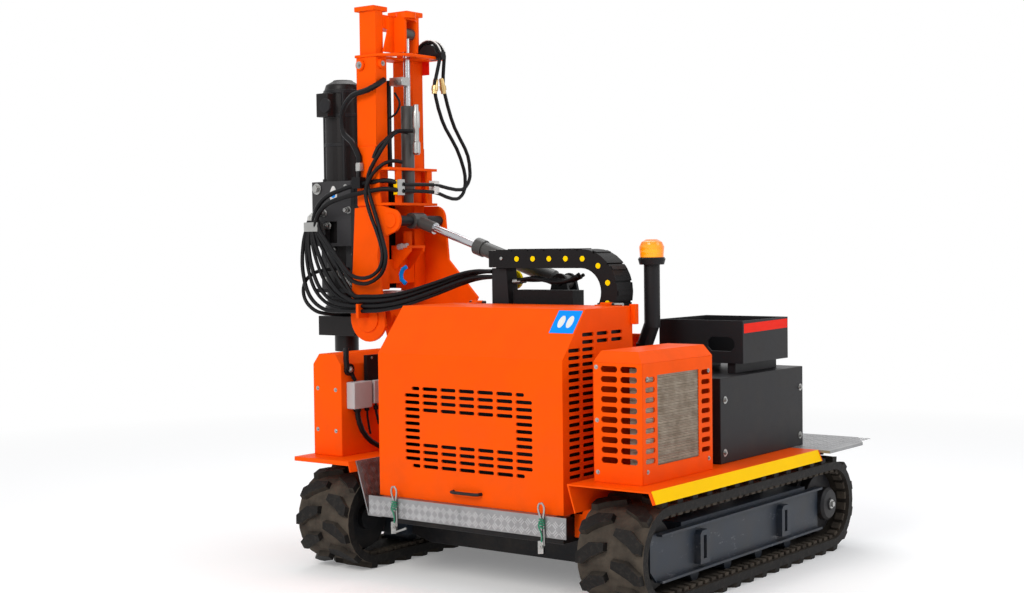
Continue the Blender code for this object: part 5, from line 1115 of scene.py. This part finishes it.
# %% Plate and disc on the hammer
shield = Kit()
egg = [(-1.383 + 0.026 * math.cos(t) * (1.0 - 0.35 * max(0, math.sin(t))), 1.735 + 0.042 * math.sin(t))
       for t in turns_of(24)]
shield.prism("y", egg, 0.6555, 0.6585)
shield.done("hammer_mark", WHITE, "hammer", "graphite_paint", 0)
shield = Kit()
shield.turned((-1.383, 0.656, 1.732), (0, -1, 0), ((0, 0.016), (0.0012, 0.016)), 20)
shield.done("hammer_mark_disc", BLUE, "hammer", "graphite_paint", 0)

# %% [markdown]
# Four tie rods with nuts stand round the hammer's cylinder, three bands go round it, and
# two hoops make the ribs above the chuck.

# %% Tie rods and bands of the hammer
HAMMER_AXIS = (-1.43, 0.79)
frame_work = Kit()
round_cap = ((0, 0.030), (0.004, 0.036), (0.016, 0.036), (0.018, 0.024))
frame_work.turned((-1.403, 0.640, 2.185), (0, -1, 0), round_cap, 20)
frame_work.box((-1.520, 0.660, 1.232), (-1.300, 0.680, 1.252))
for x, y in ((-1.495, 0.722), (-1.365, 0.722), (-1.495, 0.858), (-1.365, 0.858)):
    frame_work.rod((x, y, 1.80), (x, y, 2.262), 0.011)
    frame_work.turned((x, y, 1.800), (0, 0, 1), ((0, 0.019), (0.016, 0.019)), 6)
for foot, reach in ((2.252, 0.1015), (2.130, 0.1010), (1.980, 0.1010)):
    band = ((0, reach - 0.002), (0.002, reach), (0.018, reach), (0.020, reach - 0.002))
    frame_work.turned((*HAMMER_AXIS, foot), (0, 0, 1), band, 36)
for z in (1.155, 1.205):
    frame_work.ring((*HAMMER_AXIS, z), (0, 0, 1), 0.100, 0.009, 8, 32)
frame_work.done("hammer_frame_work", GRAPHITE, "hammer", "graphite_paint")

# %% [markdown]
# ### The rear cabinet
# The photograph doesn't show this side. The door, its louvres and its handle are a guess
# from machines of this kind.

# %% Cabinet door
door = Kit()
door.box((-0.470, 1.559, 0.395), (0.300, 1.563, 0.725))
door.done("cabinet_door", ORANGE, "root", "orange_paint", 0.0015)
door = Kit()
HANDLE_ROUTE = ((-0.150, 1.562), (-0.145, 1.585), (-0.120, 1.592), (-0.030, 1.592), (-0.005, 1.585),
                (0.000, 1.562))
door.bar([(x, y, 0.660) for x, y in HANDLE_ROUTE], 0.0075)
for k in range(6):
    door.box((-0.380, 1.562, 0.460 + 0.026 * k), (-0.200, 1.566, 0.470 + 0.026 * k))
    door.box((0.040, 1.562, 0.460 + 0.026 * k), (0.220, 1.566, 0.470 + 0.026 * k))
door.done("cabinet_handle", GRAPHITE, "root", "graphite_paint", 0.0010)

# %% [markdown]
# Low on the mast, half hidden by the hoses, show a blue sling and a small grey valve.

# %% Sling and valve at the mast's foot
blue_strap = Kit()
SLING = ((-0.965, 0.735, 1.362), (-0.985, 0.732, 1.352), (-0.997, 0.730, 1.325), (-0.993, 0.730, 1.298),
         (-0.970, 0.734, 1.279))
blue_strap.bar(SLING, 0.011)
blue_strap.done("mast_blue_strap", BLUE, "mast", "hose_rubber", 0)
valve_box = Kit()
valve_box.box((-1.100, 0.700, 1.196), (-1.000, 0.760, 1.244))
small_valve = ((0, 0.012), (0.03, 0.012), (0.032, 0.016), (0.06, 0.016))
valve_box.turned((-0.955, 0.735, 1.470), (-1, 0, -0.15), small_valve, 10)
valve_box.done("mast_valve_box", GREY_PLASTIC, "mast", "graphite_paint")

# %% [markdown]
# ## What repeats
# Bolts, chain links, cooler fins, tread bars and belt teeth are each one small shape set
# down many times. Geometry Nodes does this: points carry a direction and a size, and
# the tree stands the shape on each. The result is made real before it joins the rig.


# %% A Geometry Nodes tree with named inputs
class Grower(Tree):
    """A node group that stands a shape on every point of a mesh."""

    def __init__(self, name, inputs):
        super().__init__(bpy.data.node_groups.new(name, "GeometryNodeTree"))
        sides = self.tree.interface
        sides.new_socket("Geometry", in_out="INPUT", socket_type="NodeSocketGeometry")
        sides.new_socket("Geometry", in_out="OUTPUT", socket_type="NodeSocketGeometry")
        for label, value in inputs.items():
            sides.new_socket(label, in_out="INPUT", socket_type="NodeSocketFloat").default_value = value
        sides.new_socket("Finish", in_out="INPUT", socket_type="NodeSocketMaterial")
        self.entry = self.tree.nodes.new("NodeGroupInput")
        self.leave = self.tree.nodes.new("NodeGroupOutput")

    def given(self, label):
        return Reading(self, self.entry.outputs[label])

    def stored(self, label, kind):
        return self.node("GeometryNodeInputNamedAttribute", {"data_type": kind}, {"Name": label})

    def moved(self, shape, **sockets):
        return self.node("GeometryNodeTransform", {},
                         {"Geometry": shape, **{k.title(): v for k, v in sockets.items()}})

    def joined(self, *shapes):
        made = self.tree.nodes.new("GeometryNodeJoinGeometry")
        for shape in shapes:
            self.tree.links.new(shape.socket, made.inputs[0])
        return Reading(self, made.outputs[0])

    def vector(self, x=0.0, y=0.0, z=0.0):
        return self.node("ShaderNodeCombineXYZ", {}, {0: x, 1: y, 2: z})

    def stand(self, shape):
        """Sets the shape on every point, its z axis along "out" and its x axis along "run"."""
        upright = self.node("FunctionNodeAlignRotationToVector", {"axis": "Z"},
                            {"Vector": self.stored("out", "FLOAT_VECTOR")})
        turned = self.node("FunctionNodeAlignRotationToVector", {"axis": "X", "pivot_axis": "Z"},
                           {"Rotation": upright, "Vector": self.stored("run", "FLOAT_VECTOR")})
        placed = self.node("GeometryNodeInstanceOnPoints", {},
                           {"Points": self.given("Geometry"), "Instance": shape, "Rotation": turned,
                            "Scale": self.stored("size", "FLOAT")})
        real = self.node("GeometryNodeRealizeInstances", {}, {0: placed})
        done = self.node("GeometryNodeSetMaterial", {},
                         {"Geometry": real, "Material": self.given("Finish")})
        self.tree.links.new(done.socket, self.leave.inputs[0])
        return self


def grow(name, grower, spots, finish, body, slot, **values):
    """One mesh from a tree; a spot is (place, out, run, size)."""
    mesh = bpy.data.meshes.new(name)
    mesh.from_pydata([at(*place) for place, out, run, size in spots], [], [])
    for label, column in (("out", 1), ("run", 2)):
        marks = mesh.attributes.new(label, "FLOAT_VECTOR", "POINT")
        for number, spot in enumerate(spots):
            marks.data[number].vector = spot[column]
    marks = mesh.attributes.new("size", "FLOAT", "POINT")
    for number, spot in enumerate(spots):
        marks.data[number].value = spot[3]
    piece = linked(name, mesh)
    growth = piece.modifiers.new("growth", "NODES")
    growth.node_group = grower.tree
    given = {"Finish": finish, **{key.replace("_", " ").title(): value for key, value in values.items()}}
    for item in grower.tree.interface.items_tree:
        if item.in_out == "INPUT" and item.name in given:
            growth[item.identifier] = given[item.name]
    bpy.context.view_layer.update()
    made = bpy.data.meshes.new_from_object(piece.evaluated_get(bpy.context.evaluated_depsgraph_get()))
    piece.modifiers.remove(growth)
    piece.data = made
    made.name = name
    made.shade_smooth()
    made.set_sharp_from_angle(angle=math.radians(35))
    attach(piece, body)
    print(name, len(spots), "set down,", len(made.polygons), "faces")
    return piece


# %% [markdown]
# ### Bolts
# A hexagon head on its washer: the head stands off the plate by a little less than half
# its width. The size travels with each point, so one tree serves every bolt.

# %% One bolt, set down on every body
bolt = Grower("bolt", {"Head Height": 0.62, "Washer Width": 1.75})
head_height = bolt.given("Head Height")
head = bolt.node("GeometryNodeMeshCylinder", {"fill_type": "NGON"},
                 {"Vertices": 6, "Radius": 1.0, "Depth": head_height})
head = bolt.moved(head, translation=bolt.vector(z=head_height * 0.5 + 0.16))
stub = bolt.node("GeometryNodeMeshCylinder", {"fill_type": "NGON"},
                 {"Vertices": 10, "Radius": 0.55, "Depth": 0.5})
stub = bolt.moved(stub, translation=bolt.vector(z=head_height + 0.20))
washer = bolt.node("GeometryNodeMeshCylinder", {"fill_type": "NGON"},
                   {"Vertices": 18, "Radius": bolt.given("Washer Width"), "Depth": 0.34})
bolt.stand(bolt.joined(head, stub, washer))

FRONT, RIGHT_SIDE, REAR = (0, -1, 0), (1, 0, 0), (0, 1, 0)


def bolts(out, size, *places):
    return [(place, out, (0.3, 0.5, 0.81), size) for place in places]


TANK_BOLTS = bolts(RIGHT_SIDE, 0.0095, (0.818, 0.766, 0.785), (0.818, 1.477, 0.784),
                   (0.818, 0.763, 0.556), (0.818, 1.474, 0.559))
COOLER_BOLTS = bolts(FRONT, 0.0052, (0.640, 0.039, 0.973), (0.642, 0.039, 0.759), (0.644, 0.039, 0.550))
BOX_BOLTS = bolts(FRONT, 0.0055, (-0.903, 0.031, 0.817), (-0.791, 0.031, 0.813),
                  (-0.906, 0.031, 0.627), (-0.792, 0.031, 0.625))
GRILLE_BOLTS = bolts(RIGHT_SIDE, 0.0052, (0.855, 0.080, 0.930), (0.855, 0.560, 0.930),
                     (0.855, 0.080, 0.560), (0.855, 0.560, 0.560))
ROOT_BOLTS = TANK_BOLTS + COOLER_BOLTS + BOX_BOLTS + GRILLE_BOLTS
MAST_BOLTS = (bolts(FRONT, 0.0105, (-1.137, 0.596, 2.366))
              + bolts(RIGHT_SIDE, 0.0075, (-1.026, 0.650, 2.371)))
CABINET_BOLTS = bolts(REAR, 0.0060, (-0.455, 1.562, 0.420), (0.285, 1.562, 0.420),
                      (-0.455, 1.562, 0.700), (0.285, 1.562, 0.700))
HAMMER_BOLTS = bolts(FRONT, 0.0075, (-1.500, 0.720, 1.300), (-1.500, 0.658, 1.540),
                     (-1.500, 0.720, 1.420), (-1.300, 0.658, 1.770))
grow("root_bolts", bolt, ROOT_BOLTS, ZINC, "root", "rod_chrome")
grow("mast_bolts", bolt, MAST_BOLTS, ZINC, "mast", "rod_chrome")
grow("cabinet_bolts", bolt, CABINET_BOLTS, ZINC, "root", "rod_chrome")
grow("hammer_bolts", bolt, HAMMER_BOLTS, ZINC, "hammer", "rod_chrome")

# %% [markdown]
# ### Chain links, cooler fins and belt teeth
# Two more trees serve what is left: a flat disc, and a slab whose three sizes are inputs.

# %% Trees for discs and slabs
disc = Grower("disc", {"Thickness": 0.18})
disc.stand(disc.node("GeometryNodeMeshCylinder", {"fill_type": "NGON"},
                     {"Vertices": 14, "Radius": 1.0, "Depth": disc.given("Thickness")}))
slab = Grower("slab", {"Length": 1.0, "Width": 0.2, "Height": 0.1})
sides = slab.vector(slab.given("Length"), slab.given("Width"), slab.given("Height"))
slab.stand(slab.node("GeometryNodeMeshCube", {}, {"Size": sides}))

print("trees:", [group.name for group in bpy.data.node_groups])

# %% [markdown]
# The cable chain's link pins are yellow discs along its middle, with a bar across every
# link on the outside. One function walks along the chain and round its bend.


# %% Discs and bars of the cable chain
CHAIN_BEND = (0.215, 1.254)  # the bend's middle as (x, z)
CHAIN_START = 0.285  # the moving end, this far to the left of x = 0
CHAIN_REACH = 0.1475  # the chain's middle line round its bend


def chain_spot(along, reach=CHAIN_REACH):
    """A place on the chain, measured from its moving end, with its outward direction."""
    upper = CHAIN_BEND[0] + CHAIN_START
    if along < upper:
        return (along - CHAIN_START, CHAIN_BEND[1] + reach), (0, 1)
    turn = (along - upper) / CHAIN_REACH
    if turn < math.pi:
        return ((CHAIN_BEND[0] + reach * math.sin(turn), CHAIN_BEND[1] + reach * math.cos(turn)),
                (math.sin(turn), math.cos(turn)))
    return (CHAIN_BEND[0] - (along - upper - math.pi * CHAIN_REACH), CHAIN_BEND[1] - reach), (0, -1)


LINK = 0.091
END_LINK = 0.053  # from the moving end to where the first full link begins
BAR_OUT = 0.0425  # from the chain's middle line out to its bars
LOWEST_BAR = 1.10  # the bars below this height would lie in the shelf
link_discs, link_bars = [], []
for number in range(1, 16):
    (x, z), out = chain_spot(number * LINK + END_LINK)
    if number < 15:
        link_discs.append(((x, 0.5545, z), (0, -1, 0), (1, 0, 0), 0.0125))
    (x, z), out = chain_spot((number - 0.5) * LINK + END_LINK, CHAIN_REACH + BAR_OUT)
    if z > LOWEST_BAR:
        link_bars.append(((x, 0.621, z), (out[0], 0, out[1]), (0, 1, 0), 1.0))
grow("chain_discs", disc, link_discs, LEMON, "cable_chain", "chain_plastic")
grow("chain_bars", slab, link_bars, CHAIN_PLASTIC, "cable_chain", "chain_plastic",
     length=0.118, width=0.020, height=0.006)

# %% [markdown]
# The cooler is a stack of thin fins, each a slab as long as the core is deep.

# %% Fins of the cooler
fin_spots = [((0.8500, 0.319, 0.586 + 0.0135 * k), RIGHT_SIDE, (0, 1, 0), 1.0) for k in range(26)]
grow("cooler_fins", slab, fin_spots, CORE, "root", "radiator_core",
     length=0.322, width=0.0035, height=0.005)

# %% [markdown]
# The track's inner side has two rows of square teeth between which the wheels run. They
# are shared out evenly round the belt, along both straights and round both axles.


# %% Teeth inside the belts
BELT_INSIDE = 0.163
TEETH_PER_ROW = 72
TRACK_MIDDLE_X = 0.775
TOOTH_OFF = 0.118  # each row of teeth from the belt's middle
TOOTH_SUNK = 0.006
straight = REAR_AXLE_Y - FRONT_AXLE_Y
around = 2 * straight + 2 * math.pi * BELT_INSIDE


def belt_spot(along):
    """A place on the belt's inner side as (y, z), and the direction to its inside."""
    if along < straight:
        return FRONT_AXLE_Y + along, AXLE_Z + BELT_INSIDE, (0, -1)
    if along < straight + math.pi * BELT_INSIDE:
        turn = (along - straight) / BELT_INSIDE
        y, z = REAR_AXLE_Y + BELT_INSIDE * math.sin(turn), AXLE_Z + BELT_INSIDE * math.cos(turn)
        return y, z, (-math.sin(turn), -math.cos(turn))
    if along < 2 * straight + math.pi * BELT_INSIDE:
        return REAR_AXLE_Y - (along - straight - math.pi * BELT_INSIDE), AXLE_Z - BELT_INSIDE, (0, 1)
    turn = (along - 2 * straight - math.pi * BELT_INSIDE) / BELT_INSIDE
    y, z = FRONT_AXLE_Y - BELT_INSIDE * math.sin(turn), AXLE_Z - BELT_INSIDE * math.cos(turn)
    return y, z, (math.sin(turn), math.cos(turn))


tooth_spots = []
for number in range(TEETH_PER_ROW):
    y, z, inward = belt_spot(around * number / TEETH_PER_ROW)
    for side in (-1, 1):
        for off in (-TOOTH_OFF, TOOTH_OFF):
            spot = (side * TRACK_MIDDLE_X + off, y + inward[0] * TOOTH_SUNK, z + inward[1] * TOOTH_SUNK)
            tooth_spots.append((spot, (0, *inward), (1, 0, 0), 1.0))
grow("belt_teeth", slab, tooth_spots, TRACK_RUBBER, "root", "track_rubber",
     length=0.040, width=0.034, height=0.014)

# %% [markdown]
# ### Tread bars
# Tread plate is rolled with short raised bars in groups that turn through a right angle
# from one group to the next. Three bars side by side make a group here.


# %% Bars on the bumper, the step and the platform
BAR_STEP = 0.009  # from one bar of a group to the next
BAR_LIFT = 0.0002


def tread_spots(corner, across, upward, out, steps, rows, pitch):
    """Groups of bars on a flat sheet from its corner along two directions."""
    corner = Vector(corner)
    across, upward, out = (Vector(way).normalized() for way in (across, upward, out))
    spots = []
    for row in range(rows):
        for step in range(steps):
            lean = 1 if (row + step) % 2 else -1
            run = (across + upward * lean).normalized()
            beside = out.cross(run)
            middle = corner + across * pitch * (step + 0.5) + upward * pitch * (row + 0.5)
            for shift in (-BAR_STEP, 0.0, BAR_STEP):
                spots.append((tuple(middle + beside * shift + out * BAR_LIFT), tuple(out), tuple(run), 1.0))
    return spots


BAR = {"length": 0.024, "width": 0.0042, "height": 0.0022}
bumper = tread_spots((-0.534, -0.035, 0.277), (1, 0, 0), (0, 0, 1), (0, -1, 0), 31, 2, 0.0345)
platform = tread_spots((0.490, 1.420, 0.509), (1, 0, 0), (0, 1, 0), (0, 0, 1), 15, 14, 0.0335)
slope, slope_out = (-0.072, 0, 0.234), (0.234, 0, 0.072)  # up the plate, and off it
left_plate = tread_spots((-0.5405, -0.018, 0.282), (0, 1, 0), slope, slope_out, 40, 7, 0.0335)
grow("left_plate_tread", slab, left_plate, TREAD_CREST, "root", "tread_aluminium", **BAR)
grow("bumper_tread", slab, bumper, TREAD_CREST, "root", "tread_aluminium", **BAR)
grow("platform_tread", slab, platform, TREAD_CREST, "root", "tread_aluminium", **BAR)
